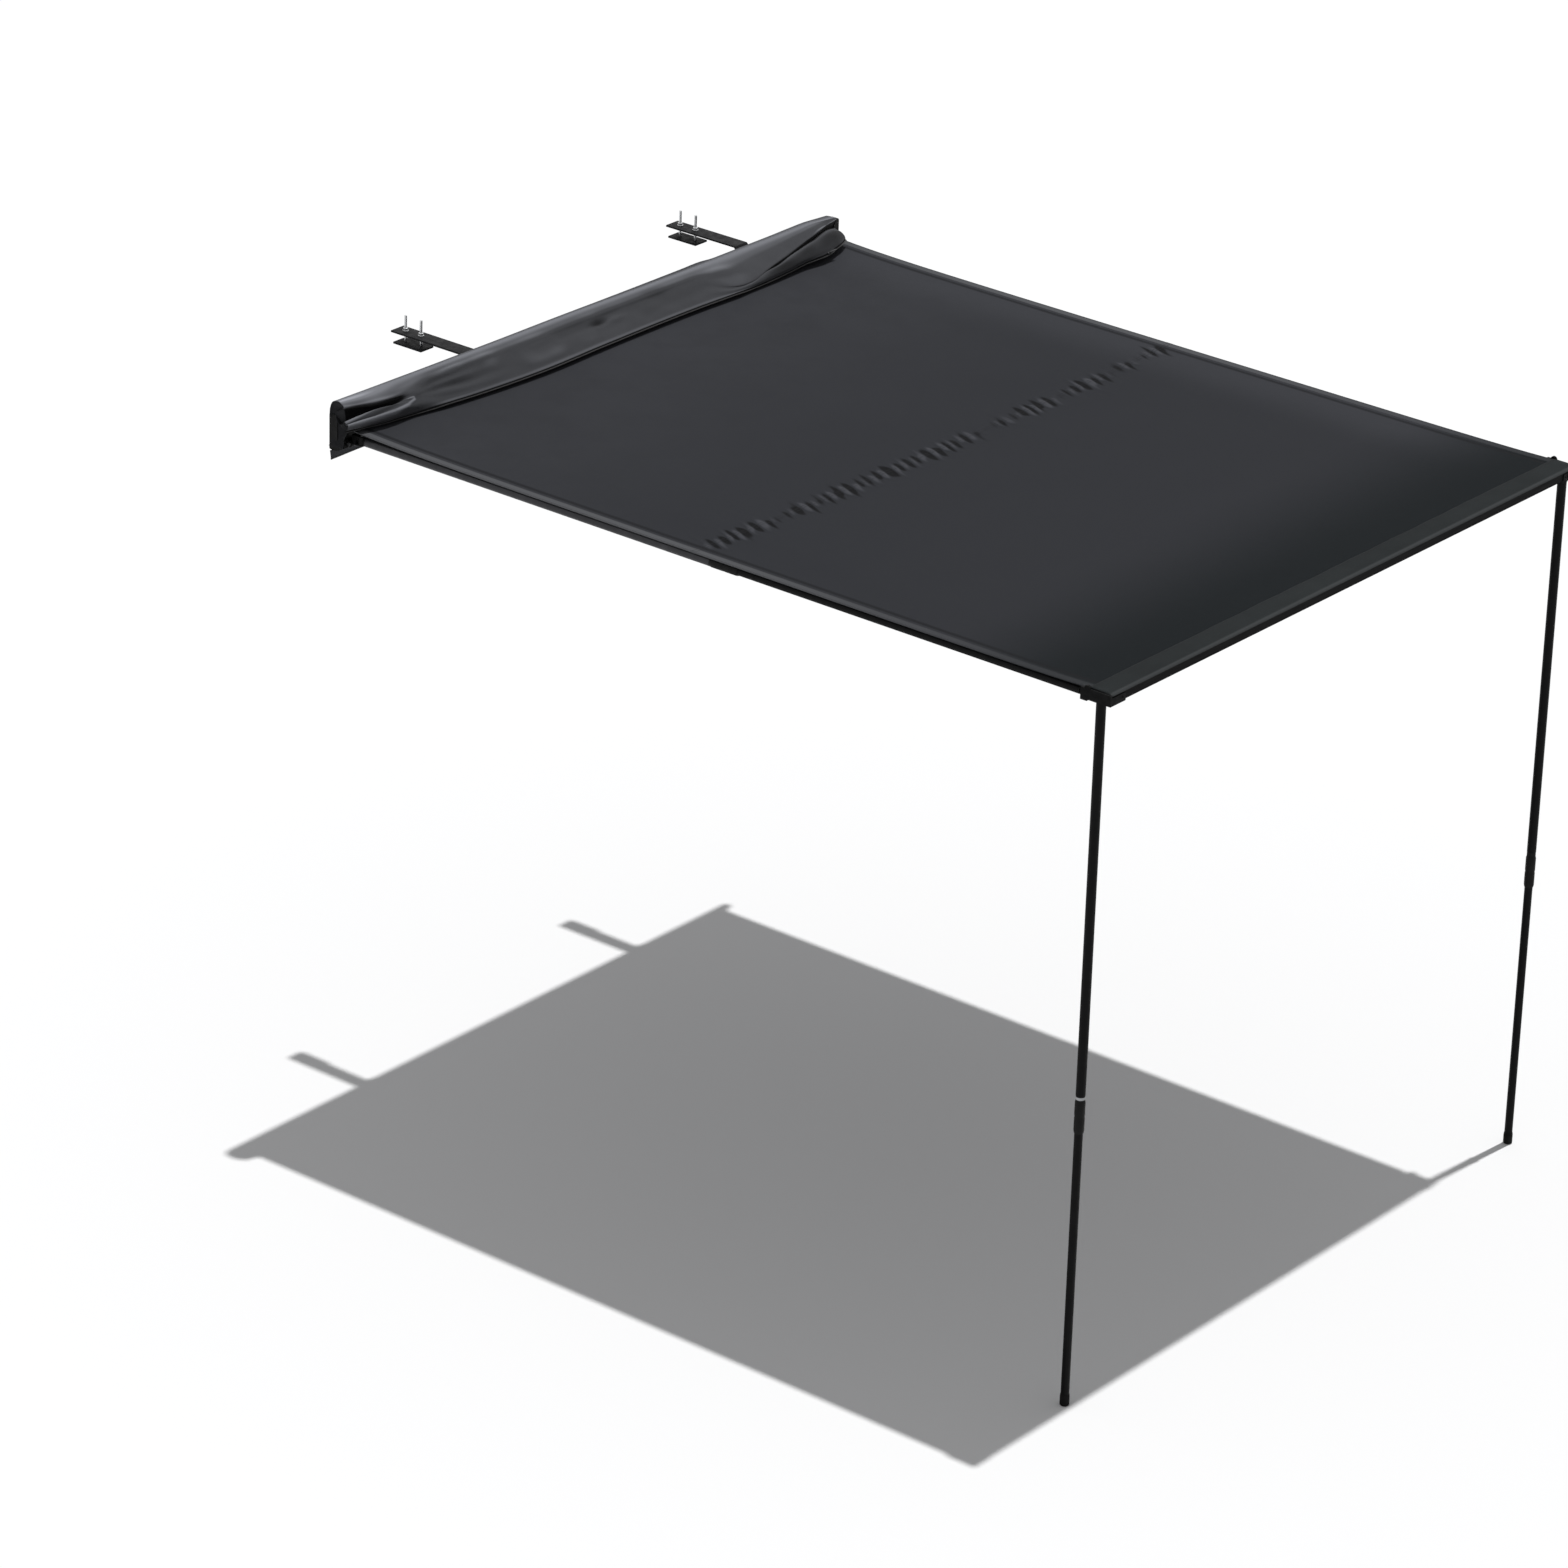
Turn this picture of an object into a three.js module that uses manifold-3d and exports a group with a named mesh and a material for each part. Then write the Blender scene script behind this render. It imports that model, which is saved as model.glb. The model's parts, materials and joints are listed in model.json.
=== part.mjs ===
// A side awning for a vehicle's roof rack, pulled out and standing on its two legs.
// Millimetres. +X runs along the rail from its near end to its far end, -Y points away from the
// vehicle and +Z up. The origin is the middle of the rail's back face.
import * as THREE from 'three';
import { mergeVertices } from 'three/addons/utils/BufferGeometryUtils.js';
import Module from 'manifold-3d';

const wasm = await Module();
wasm.setup();

// Driving dimensions
const canopyWidth = 2000;      // along the rail
const reach = 2500;            // rail's back face to the front beam's outer face
const mountHeight = 1965;      // ground to the middle of the rail's back face
const railPast = 25;           // rail past each side of the canopy
const armInset = 15;           // canopy's side to the arm's swing pin
const legInset = 30;           // canopy's side to the leg's pivot
const tubeRadius = 12.5;       // outer tubes of the arms and legs
const innerTubeRadius = 11;    // tubes that slide in them
const tubeWall = 1.2;
const collarRadius = 13.5;     // twist collars
const seat = 0.3;              // gap between pieces that touch
const slip = 0.2;              // radial gap of a sliding fit
const overrun = 2;             // how far a cutter passes through what it cuts
const merge = 1;               // how far shapes of one piece run into each other

// Faces of the round pieces
const roundSides = 18;
const smallSides = 10;
const hexSides = 6;
const grooveSteps = 10;

// Rail section: y is 0 at its back face and -railDepth at its front face
const railLength = canopyWidth + 2 * railPast;
const railDepth = 28;
const railTop = 52;
const railBottom = -48;
const railWall = 2.5;
const lowerSlotZ = -24;                // centres of the two T-slots in the back
const upperSlotZ = 28;
const slotHeights = [lowerSlotZ, upperSlotZ];
const slotMouth = 9;
const slotWidth = 16;
const slotDepth = 6;
const railGroove = { y: -23, z: 10, radius: 3.5, mouth: 2.6 };
const topGroove = { y: -8, z: 47.5, radius: 3, mouth: 2.8 };
const bottomGroove = { y: -10, z: -43.5, radius: 3, mouth: 2.8 };
const grooveWall = 2;
const capThickness = 4;
const capPlug = 8;
const capCorner = 4;

// Arms: the tilt axis, the swing pins and the two planes the arms lie in
const tilt = { y: -42, z: -32 };
const armSpread = canopyWidth / 2 - armInset;
const swingPinY = -75;
const armPlaneOffset = 14;             // near arm this far above the tilt axis, far arm below it
const pinRadius = 4;
const pinHole = 4.3;
const armCollarLength = 90;
const armOuterEnd = -1250;
const armOverlap = 145;                // inner tube inside the outer one
const tipSetback = 81.5;               // beam's outer face to the arm tips' cross bars

// Beam: outer lane, web and inner lane, open below
const beamTop = 1;
const beamHeight = 25;
const beamWall = 2;
const lane = 31;
const beamBack = -reach + 2 * lane + 3 * beamWall;
const outerLaneY = -reach + beamWall + lane / 2;
const innerLaneY = beamBack - beamWall - lane / 2;
const laneClear = 2.4;                 // between a folded collar and the beam's cord boss
const beamGrooveInset = 3.4;
const beamGroove = { y: -reach + beamGrooveInset, z: beamTop - beamGrooveInset, radius: 1.9, mouth: 1.5 };

// Legs
const legPivotZ = -16;
const legHeadRadius = 12;
const legTubeTop = -38;
const ringTop = -1094;
const ringLength = 12;
const legCollarLength = 90;
const legOverlap = 264;
const camLength = 30;
const camGap = 0.2;
const footHeight = 32;
const footSocket = 24;
const footRingLength = 5;

// Cloth
const clothThickness = 1.2;
const hemThickness = 2.4;
const sideHem = 30;
const seamShare = 0.47;                // how far out the cross seam lies
const seamWidth = 16;
const wrapWidth = 62;
const coverThickness = 2.5;
const beadRadiusLarge = 3;
const beadRadiusCover = 2.6;
const beadRadiusSmall = 1.6;

// Rack brackets
const nearBracketX = -490;
const farBracketX = 640;
const bracketPlaces = [nearBracketX, farBracketX];
const bracketWidth = 50;
const plate = 5;
const bracketTop = 70;
const bracketReach = 255;
const boltInset = 58;                  // from the bracket's outer end to the middle of its rack bolts
const rackBoltMiddle = bracketReach - boltInset;
const rackBoltSpacing = 55;
const rackBoltPlaces = [rackBoltMiddle - rackBoltSpacing / 2, rackBoltMiddle + rackBoltSpacing / 2];
const boltRadius = 4;
const boltHole = 4.5;
const nutRadius = 7.4;                 // to the hexagon's corners
const nutHeight = 6.5;
const washerRadius = 8.5;
const washerThickness = 1.6;
const rackBar = 25;
const boltStand = 43;                  // rack bolts' ends above the bracket

const materials = {
  railBlack: [0x17181a, 0.45, 0.6],
  castBlack: [0x111213, 0.6, 0.1],
  tubeBlack: [0x141414, 0.35, 0.5],
  gripBlack: [0x0c0c0d, 0.8, 0],
  steel: [0xc9ccd0, 0.3, 1],
  brightPlastic: [0xb9bbbd, 0.5, 0],
  canopyCloth: [0x3a3b3e, 0.9, 0],
  coverCloth: [0x3f4043, 0.6, 0],
  tapeCloth: [0x1a1a1c, 0.9, 0],
  rubber: [0x101010, 0.9, 0],
};

const awning = new THREE.Group();

// Adds one named piece
function add(name, geometry, finish) {
  const [color, roughness, metalness] = materials[finish];
  const mesh = new THREE.Mesh(geometry, new THREE.MeshStandardMaterial({ color, roughness, metalness }));
  mesh.name = name;
  awning.add(mesh);
}

const ends = [
  { name: 'near', side: -1 },
  { name: 'far', side: 1 },
];

// Solids for cutting and joining

function bare(geometry) {
  const copy = geometry.index ? geometry.toNonIndexed() : geometry.clone();
  copy.deleteAttribute('normal');
  copy.deleteAttribute('uv');
  return copy;
}

// Welds a geometry's corners, leaving out the triangles that a point on an axis flattens
function toSolid(geometry) {
  const welded = mergeVertices(bare(geometry));
  const corners = welded.index.array;
  const kept = [];
  for (let i = 0; i < corners.length; i += 3) {
    const [a, b, c] = corners.slice(i, i + 3);
    if (a !== b && b !== c && c !== a) kept.push(a, b, c);
  }
  return new wasm.Manifold(new wasm.Mesh({
    numProp: 3,
    vertProperties: welded.getAttribute('position').array,
    triVerts: new Uint32Array(kept),
  }));
}

function fromSolid(solid) {
  const mesh = solid.getMesh();
  const geometry = new THREE.BufferGeometry();
  geometry.setAttribute('position', new THREE.BufferAttribute(mesh.vertProperties, 3));
  geometry.setIndex(new THREE.BufferAttribute(mesh.triVerts, 1));
  return geometry;
}

function joined(pieces) {
  return fromSolid(pieces.map(toSolid).reduce((whole, next) => whole.add(next)));
}

function cut(geometry, cutters) {
  return fromSolid(cutters.map(toSolid).reduce((whole, next) => whole.subtract(next), toSolid(geometry)));
}

// Basic shapes

function box(x, y, z) {
  const geometry = new THREE.BoxGeometry(x[1] - x[0], y[1] - y[0], z[1] - z[0]);
  return geometry.translate((x[0] + x[1]) / 2, (y[0] + y[1]) / 2, (z[0] + z[1]) / 2);
}

function axes(x, y, z) {
  return new THREE.Matrix4().makeBasis(x, y, z);
}

const unitX = new THREE.Vector3(1, 0, 0);
const unitY = new THREE.Vector3(0, 1, 0);
const unitZ = new THREE.Vector3(0, 0, 1);
const drawnAlong = {
  x: axes(unitY, unitZ, unitX),        // outline in y and z
  y: axes(unitZ, unitX, unitY),        // outline in z and x
  z: axes(unitX, unitY, unitZ),        // outline in x and y
};

// Draws an outline out along an axis, from one place to another
function drawn(axis, outline, from, to, holes = []) {
  const shape = new THREE.Shape(outline.map(([u, v]) => new THREE.Vector2(u, v)));
  shape.holes = holes.map((hole) => new THREE.Path(hole.map(([u, v]) => new THREE.Vector2(u, v))));
  const geometry = new THREE.ExtrudeGeometry(shape, { depth: to - from, bevelEnabled: false });
  return geometry.translate(0, 0, from).applyMatrix4(drawnAlong[axis]);
}

function circle(u, v, radius, sides = roundSides) {
  return Array.from({ length: sides }, (_, i) => {
    const angle = (2 * Math.PI * (i + 0.5)) / sides;
    return [u + radius * Math.cos(angle), v + radius * Math.sin(angle)];
  });
}

function rod(axis, u, v, radius, from, to, sides = roundSides) {
  return drawn(axis, circle(u, v, radius, sides), from, to);
}

function ring(axis, u, v, radius, bore, from, to, sides = roundSides) {
  return drawn(axis, circle(u, v, radius, sides), from, to, [circle(u, v, bore, sides)]);
}

// A rectangle with rounded corners
function roundedOutline(u, v, corner) {
  const corners = [[u[1], v[1], 0], [u[0], v[1], 1], [u[0], v[0], 2], [u[1], v[0], 3]];
  return corners.flatMap(([cu, cv, quarter]) => [0, 1, 2, 3].map((step) => {
    const angle = (Math.PI / 2) * (quarter + step / 3);
    const inward = [quarter === 0 || quarter === 3 ? -1 : 1, quarter < 2 ? -1 : 1];
    return [
      cu + inward[0] * corner + corner * Math.cos(angle),
      cv + inward[1] * corner + corner * Math.sin(angle),
    ];
  }));
}

// A body turned about an axis, from pairs of distance along it and radius
function turned(axis, u, v, profile, sides = roundSides) {
  const first = profile[0][0];
  const last = profile[profile.length - 1][0];
  const points = [[0, first], ...profile.map(([along, radius]) => [radius, along]), [0, last]];
  const geometry = new THREE.LatheGeometry(points.map(([r, a]) => new THREE.Vector2(r, a)), sides);
  const turn = { x: axes(unitZ, unitX, unitY), y: axes(unitX, unitY, unitZ), z: axes(unitY, unitZ, unitX) };
  const place = { x: [0, u, v], y: [v, 0, u], z: [u, v, 0] };
  return geometry.applyMatrix4(turn[axis]).translate(...place[axis]);
}

// The outline of a sheet or strap seen edge on, along a centre line of [y, z] points
function ribbon(line, thickness) {
  const left = [];
  const right = [];
  line.forEach(([u, v], i) => {
    const before = line[Math.max(i - 1, 0)];
    const after = line[Math.min(i + 1, line.length - 1)];
    const run = new THREE.Vector2(after[0] - before[0], after[1] - before[1]).normalize();
    left.push([u - (run.y * thickness) / 2, v + (run.x * thickness) / 2]);
    right.push([u + (run.y * thickness) / 2, v - (run.x * thickness) / 2]);
  });
  return [...left, ...right.reverse()];
}

// Places between two corners, as shares of the way along each axis
function between(from, to, shares) {
  return shares.map(([u, v]) => [from[0] + u * (to[0] - from[0]), from[1] + v * (to[1] - from[1])]);
}

function smoothLine(points, steps) {
  const curve = new THREE.SplineCurve(points.map(([u, v]) => new THREE.Vector2(u, v)));
  return curve.getPoints(steps).map((point) => [point.x, point.y]);
}

// The part of an outline that runs into a cord groove and out again. The mouth points along
// toward, and the outline passes it on the side given by turn.
function grooveOutline(groove, toward, face, turn) {
  const half = groove.mouth / 2;
  const start = Math.asin(half / groove.radius);
  const facing = Math.atan2(toward[1], toward[0]);
  const points = [];
  for (let step = 0; step <= grooveSteps; step += 1) {
    const angle = start + ((2 * Math.PI - 2 * start) * step) / grooveSteps;
    points.push([
      groove.y + groove.radius * Math.cos(facing + turn * angle),
      groove.z + groove.radius * Math.sin(facing + turn * angle),
    ]);
  }
  const first = points[0];
  const last = points[points.length - 1];
  const lip = ([y, z]) => (toward[1] === 0 ? [face, z] : [y, face]);
  return [lip(first), ...points, lip(last)];
}

function railOutline() {
  const slot = (centre) => [
    [0, centre - slotMouth / 2],
    [-railWall, centre - slotMouth / 2],
    [-railWall, centre - slotWidth / 2],
    [-railWall - slotDepth, centre - slotWidth / 2],
    [-railWall - slotDepth, centre + slotWidth / 2],
    [-railWall, centre + slotWidth / 2],
    [-railWall, centre + slotMouth / 2],
    [0, centre + slotMouth / 2],
  ];
  return [
    [0, railBottom],
    ...slotHeights.flatMap(slot),
    [0, railTop],
    ...grooveOutline(topGroove, [0, 1], railTop, -1),
    [-railDepth, railTop],
    ...grooveOutline(railGroove, [-1, 0], -railDepth, -1),
    [-railDepth, railBottom],
    ...grooveOutline(bottomGroove, [0, -1], railBottom, -1),
  ];
}

// The rail's long hollows, each as its y and z limits: two at the front, one between the slots
const chamberY = [-railDepth + railWall, -2 * railWall - slotDepth];
const above = (groove) => groove.z + groove.radius + grooveWall;
const below = (groove) => groove.z - groove.radius - grooveWall;
const chambers = [
  [chamberY, [above(bottomGroove), below(railGroove)]],
  [chamberY, [above(railGroove), below(topGroove)]],
  [
    [-railWall - slotDepth, -railWall],
    [lowerSlotZ + slotWidth / 2 + railWall, upperSlotZ - slotWidth / 2 - railWall],
  ],
];

function rectangle([y, z], inset = 0) {
  return [
    [y[0] + inset, z[0] + inset],
    [y[1] - inset, z[0] + inset],
    [y[1] - inset, z[1] - inset],
    [y[0] + inset, z[1] - inset],
  ];
}

// Arm brackets: a base plate on the rail's front face with two ears for the tilt pin
const baseWidth = 48;
const baseBelow = 14;
const baseAbove = 28;
const baseHeights = [tilt.z - baseBelow, tilt.z + baseAbove];
const basePlate = 4;
const earGap = 10.3;
const earThickness = 4;
const earRadius = 9.5;
const baseScrewSpread = 19;
const baseScrewRise = 7;
const baseScrewHeight = tilt.z + baseScrewRise;
const baseScrewRadius = 2.5;
const baseScrewHead = 4.5;
const baseScrewHeadHeight = 2.6;
const baseFront = -railDepth - seat - basePlate;

function baseScrewPlaces(side) {
  return [-baseScrewSpread, baseScrewSpread].map((offset) => side * armSpread + offset);
}

function rail() {
  const holes = chambers.map((limits) => rectangle(limits));
  const body = drawn('x', railOutline(), -railLength / 2, railLength / 2, holes);
  const screwHoles = ends.flatMap(({ side }) => baseScrewPlaces(side).map((x) => rod(
    'y', baseScrewHeight, x, baseScrewRadius + slip, -railDepth - overrun, chamberY[0] + overrun, smallSides,
  )));
  return cut(body, screwHoles);
}

function railCap(side) {
  const inner = railLength / 2 + seat;
  const outer = inner + capThickness;
  const along = (a, b) => [Math.min(side * a, side * b), Math.max(side * a, side * b)];
  const outline = roundedOutline([-railDepth, 0], [railBottom, railTop], capCorner);
  const cover = drawn('x', outline, ...along(inner, outer));
  const depth = along(inner - capPlug, inner + slip);
  const plugs = chambers.map((limits) => drawn('x', rectangle(limits, seat), ...depth));
  return joined([cover, ...plugs]);
}

add('rail', rail(), 'railBlack');
ends.forEach(({ name, side }) => add(`rail_end_cap_${name}`, railCap(side), 'castBlack'));

// Rack brackets, clamp plates and their bolts
const bracketFootRise = 6;
const bracketFoot = railBottom + bracketFootRise;
const bracketUnder = bracketTop - plate;
const bracketBack = seat + plate;
const tBoltHead = { length: 20, width: 14.5, height: 5 };
const tBoltEnd = 19;
const clampBottom = bracketUnder - rackBar - plate;
const clampMargin = 22;
const boltHeadHeight = 5.3;

function rackBracket(x) {
  const outline = [
    [seat, bracketFoot],
    [bracketBack, bracketFoot],
    [bracketBack, bracketUnder - plate],
    [bracketBack + plate, bracketUnder],
    [bracketReach, bracketUnder],
    [bracketReach, bracketTop],
    [seat + plate, bracketTop],
    [seat, bracketTop - plate],
  ];
  const body = drawn('x', outline, x - bracketWidth / 2, x + bracketWidth / 2);
  const across = [-overrun, bracketBack + overrun];
  const down = [bracketUnder - overrun, bracketTop + overrun];
  const holes = [
    ...slotHeights.map((z) => rod('y', z, x, boltHole, ...across, smallSides)),
    ...rackBoltPlaces.map((y) => rod('z', x, y, boltHole, ...down, smallSides)),
  ];
  return cut(body, holes);
}

function clampPlate(x) {
  const y = [rackBoltPlaces[0] - clampMargin, rackBoltPlaces[1] + clampMargin];
  const body = box([x - bracketWidth / 2, x + bracketWidth / 2], y, [clampBottom, clampBottom + plate]);
  const through = [clampBottom - overrun, clampBottom + plate + overrun];
  return cut(body, rackBoltPlaces.map((place) => rod('z', x, place, boltHole, ...through, smallSides)));
}

// A tightened nut with its washer, from the face that it presses on
function nutAndWasher(axis, u, v, from) {
  const nutFrom = from + washerThickness;
  return [
    rod(axis, u, v, washerRadius, from, nutFrom, smallSides),
    rod(axis, u, v, nutRadius, nutFrom - washerThickness / 2, nutFrom + nutHeight, hexSides),
  ];
}

function railBolt(x, z) {
  const headFront = -railWall - seat;
  const head = box(
    [x - tBoltHead.length / 2, x + tBoltHead.length / 2],
    [headFront - tBoltHead.height, headFront],
    [z - tBoltHead.width / 2, z + tBoltHead.width / 2],
  );
  const shank = rod('y', z, x, boltRadius, headFront - tBoltHead.height / 2, tBoltEnd, smallSides);
  return joined([head, shank, ...nutAndWasher('y', z, x, bracketBack + seat)]);
}

function rackBolt(x, y) {
  const headTop = clampBottom - seat;
  const head = rod('z', x, y, nutRadius, headTop - boltHeadHeight, headTop, hexSides);
  const shank = rod('z', x, y, boltRadius, headTop - boltHeadHeight / 2, bracketTop + boltStand, smallSides);
  return joined([head, shank, ...nutAndWasher('z', x, y, bracketTop + seat)]);
}

bracketPlaces.forEach((x, i) => {
  const { name } = ends[i];
  add(`rack_bracket_${name}`, rackBracket(x), 'castBlack');
  add(`rack_clamp_plate_${name}`, clampPlate(x), 'castBlack');
  slotHeights.forEach((z, row) => add(`rail_bolt_${name}_${row + 1}`, railBolt(x, z), 'steel'));
  rackBoltPlaces.forEach((y, row) => add(`rack_bolt_${name}_${row + 1}`, rackBolt(x, y), 'steel'));
});

// Cover: the upper flap thrown out over the rail, the short lower flap, and the end panels
const ridge = [-36, 97];               // the flap's highest line
const flapEnd = [-138, 39];            // where its zip tape starts
const tapeWidth = 12;
const zipRadius = 2.5;
const coverPast = 6;                   // cover past the rail's end caps
const coverHalf = railLength / 2 + seat + capThickness + coverPast;
const flapSteps = 14;
const riseShares = [[0, 0], [0.14, 0.48], [0.5, 0.87], [1, 1]];
const fallShares = [[0.33, 0.24], [0.68, 0.59], [1, 1]];
const flapStart = [topGroove.y, railTop + seat];
const flapLine = smoothLine([
  ...between(flapStart, ridge, riseShares),
  ...between(ridge, flapEnd, fallShares),
], flapSteps);
const lowerSteps = 3;
const lowerLean = 2;
const lowerDrop = 10;
const lowerShares = [[0, 0], [0.5, 0.5], [1, 1]];
const lowerStart = [bottomGroove.y, railBottom - seat];
const lowerLine = smoothLine(
  between(lowerStart, [bottomGroove.y - lowerLean, railBottom - lowerDrop], lowerShares), lowerSteps,
);

// The place a distance past the end of a flap's line, where its zip tape lies
function pastEnd(line, distance) {
  const [last, before] = [line[line.length - 1], line[line.length - 2]];
  const run = new THREE.Vector2(last[0] - before[0], last[1] - before[1]).normalize();
  return [last[0] + run.x * distance, last[1] + run.y * distance];
}

function zipTeeth(line) {
  return pastEnd(line, tapeWidth + zipRadius / 2);
}

// A flap with its zip tape and teeth, and the neck and cord that hold it in the rail's groove
function coverFlap(line, groove) {
  const inRail = railLength / 2 - seat;
  const sheetLine = [...line, pastEnd(line, tapeWidth)];
  const neckLine = [[groove.y, groove.z], [groove.y, line[1][1]]];
  const sheet = drawn('x', ribbon(sheetLine, coverThickness), -coverHalf, coverHalf);
  const neck = drawn('x', ribbon(neckLine, coverThickness), -inRail, inRail);
  const bead = rod('x', groove.y, groove.z, beadRadiusCover, -inRail, inRail, smallSides);
  const teeth = rod('x', ...zipTeeth(line), zipRadius, -coverHalf, coverHalf, smallSides);
  return joined([sheet, neck, bead, teeth]);
}

// An end panel follows the upper flap. Its lower edge stays above the folded arms and then drops
// beside the rail.
const panelFoot = [-5, -36];
const panelShares = [[0.955, 0.83], [0.85, 0.65], [0.43, 0.6], [0.39, 0.43], [0.353, 0], [0, 0]];
const panelOutline = [...flapLine, ...between(panelFoot, flapEnd, panelShares)];

function endPanel(side) {
  const inner = side * (coverHalf + seat);
  const outer = side * (coverHalf + seat + coverThickness);
  return drawn('x', panelOutline, Math.min(inner, outer), Math.max(inner, outer));
}

add('cover_top', coverFlap(flapLine, topGroove), 'coverCloth');
add('cover_bottom', coverFlap(lowerLine, bottomGroove), 'coverCloth');
ends.forEach(({ name, side }) => add(`cover_end_${name}`, endPanel(side), 'coverCloth'));

// Zip slider, parked near the far end, with its tab lying back on top
const sliderInset = 200;               // cover's end to the parked slider
const sliderX = coverHalf - sliderInset;
const sliderLength = 13;
const sliderWall = 2;
const sliderGap = 0.4;
const tab = { length: 30, width: 6, thickness: 1.5 };

function zipSlider() {
  const [y, z] = zipTeeth(flapLine);
  const bore = zipRadius + sliderGap;
  const x = [sliderX - sliderLength / 2, sliderX + sliderLength / 2];
  const body = ring('x', y, z, bore + sliderWall, bore, ...x, smallSides);
  const tapeWay = box(
    [x[0] - overrun, x[1] + overrun],
    [y, y + bore + sliderWall + overrun],
    [z - bore / 2, z + bore + sliderWall + overrun],
  );
  const tabBottom = z + bore + sliderWall / 2;
  const tabHeights = [tabBottom, tabBottom + tab.thickness];
  const pull = box([sliderX, sliderX + tab.length], [y - tab.width, y], tabHeights);
  return joined([cut(body, [tapeWay]), pull]);
}

add('zip_slider', zipSlider(), 'steel');

// Canopy's rear cord, with the short web that comes out of the rail's groove
const webEnd = -38;
const webThickness = 1.2;

function canopyCord() {
  const { y, z } = railGroove;
  const width = [-canopyWidth / 2, canopyWidth / 2];
  const web = drawn('x', ribbon([[y, z], [webEnd, z]], webThickness), ...width);
  return joined([web, rod('x', y, z, beadRadiusLarge, ...width, smallSides)]);
}

add('canopy_cord', canopyCord(), 'canopyCloth');

function armBracket(side) {
  const centre = side * armSpread;
  const baseX = [centre - baseWidth / 2, centre + baseWidth / 2];
  const base = box(baseX, [baseFront, -railDepth - seat], baseHeights);
  const earOutline = [
    ...circle(tilt.y, tilt.z, earRadius).filter(([y]) => y < tilt.y),
    [baseFront + merge, tilt.z - earRadius],
    [baseFront + merge, tilt.z + earRadius],
  ];
  const ear = (offset) => {
    const [from, to] = [centre + offset, centre + offset + earThickness];
    const hole = rod('x', tilt.y, tilt.z, pinHole, from - overrun, to + overrun, smallSides);
    return cut(drawn('x', earOutline, from, to), [hole]);
  };
  const screws = baseScrewPlaces(side).map(baseScrew);
  return joined([base, ear(earGap), ear(-earGap - earThickness), ...screws]);
}

// A screw driven home through the base plate into the rail's front wall
function baseScrew(x) {
  return turned('y', baseScrewHeight, x, [
    [baseFront - baseScrewHeadHeight, baseScrewHead * 0.7],
    [baseFront - baseScrewHeadHeight / 2, baseScrewHead],
    [baseFront + basePlate / 2, baseScrewHead],
    [baseFront + basePlate / 2, baseScrewRadius],
    [chamberY[0] + merge, baseScrewRadius],
  ], smallSides);
}

const pinTail = 1.5;
const tiltPinReach = earGap + earThickness + pinTail;
const pinHead = { radius: 6.5, height: 3.2 };

// A pin along one axis with a head at its first end and a clip at its last
function headedPin(axis, u, v, from, to) {
  return turned(axis, u, v, [
    [from - pinHead.height, pinHead.radius * 0.8],
    [from - pinHead.height / 2, pinHead.radius],
    [from, pinHead.radius],
    [from, pinRadius],
    [to, pinRadius],
  ], smallSides);
}

ends.forEach(({ name, side }) => add(`arm_bracket_${name}`, armBracket(side), 'castBlack'));
ends.forEach(({ name, side }) => add(`tilt_pin_${name}`, headedPin(
  'x', tilt.y, tilt.z, side * armSpread - earGap - earThickness - seat, side * armSpread + tiltPinReach,
), 'steel'));

// Storage straps with their buckles, hanging under the rail
const strapSpread = 420;
const strapPlaces = [-strapSpread, strapSpread];
const strapWidth = 25;
const strapThickness = 1.6;
const strapTop = railBottom - seat - strapThickness / 2;
const strapStart = -15;
const strapHang = -24.5;
const strapBend = 3;
const strapEnd = -176;
const buckle = { width: 34, thickness: 9, height: 40, lip: 5, slot: 3, slotCorner: 1 };

function storageStrap(x) {
  const line = [
    [strapStart, strapTop],
    [strapHang + strapBend, strapTop],
    [strapHang + strapBend / 3, strapTop - strapBend / 3],
    [strapHang, strapTop - strapBend],
    [strapHang, strapEnd],
  ];
  return drawn('x', ribbon(line, strapThickness), x - strapWidth / 2, x + strapWidth / 2);
}

function strapBuckle(x) {
  const top = strapEnd + buckle.lip;
  const width = [x - buckle.width / 2, x + buckle.width / 2];
  const outline = roundedOutline(width, [0, buckle.height], buckle.lip);
  const window = roundedOutline(
    [x - strapWidth / 2, x + strapWidth / 2],
    [buckle.height - buckle.lip - buckle.slot, buckle.height - buckle.lip],
    buckle.slotCorner,
  );
  const flip = (points) => points.map(([u, v]) => [top - buckle.height + v, u]).reverse();
  const y = [strapHang - buckle.thickness / 2, strapHang + buckle.thickness / 2];
  return drawn('y', flip(outline), ...y, [flip(window)]);
}

strapPlaces.forEach((x, i) => {
  add(`storage_strap_${ends[i].name}`, joined([storageStrap(x), strapBuckle(x)]), 'tapeCloth');
});

// Canopy: one sagging sheet with thicker side hems and a thicker cross seam
const canopyStart = -45;
const canopyEnd = -reach + wrapWidth + seat;
const sagEdge = 1;
const sagMiddle = 3;
const hemStep = 1;
const canopyFall = [[canopyStart, railGroove.z], [canopyEnd, beamTop + seat + hemThickness / 2]];
const canopyFallShares = [[0, 0], [0.044, 0.2], [0.23, 0.62], [0.5, 0.8], [0.78, 0.92], [1, 1]];
const canopyHeights = between(...canopyFall, canopyFallShares);
const columnShares = [-1, -0.75, -0.5, -0.25, 0, 0.25, 0.5, 0.75, 1];
const rowShares = [0, 0.045, 0.12, 0.23, 0.35, 0.6, 0.72, 0.84, 0.93, 1];

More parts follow.
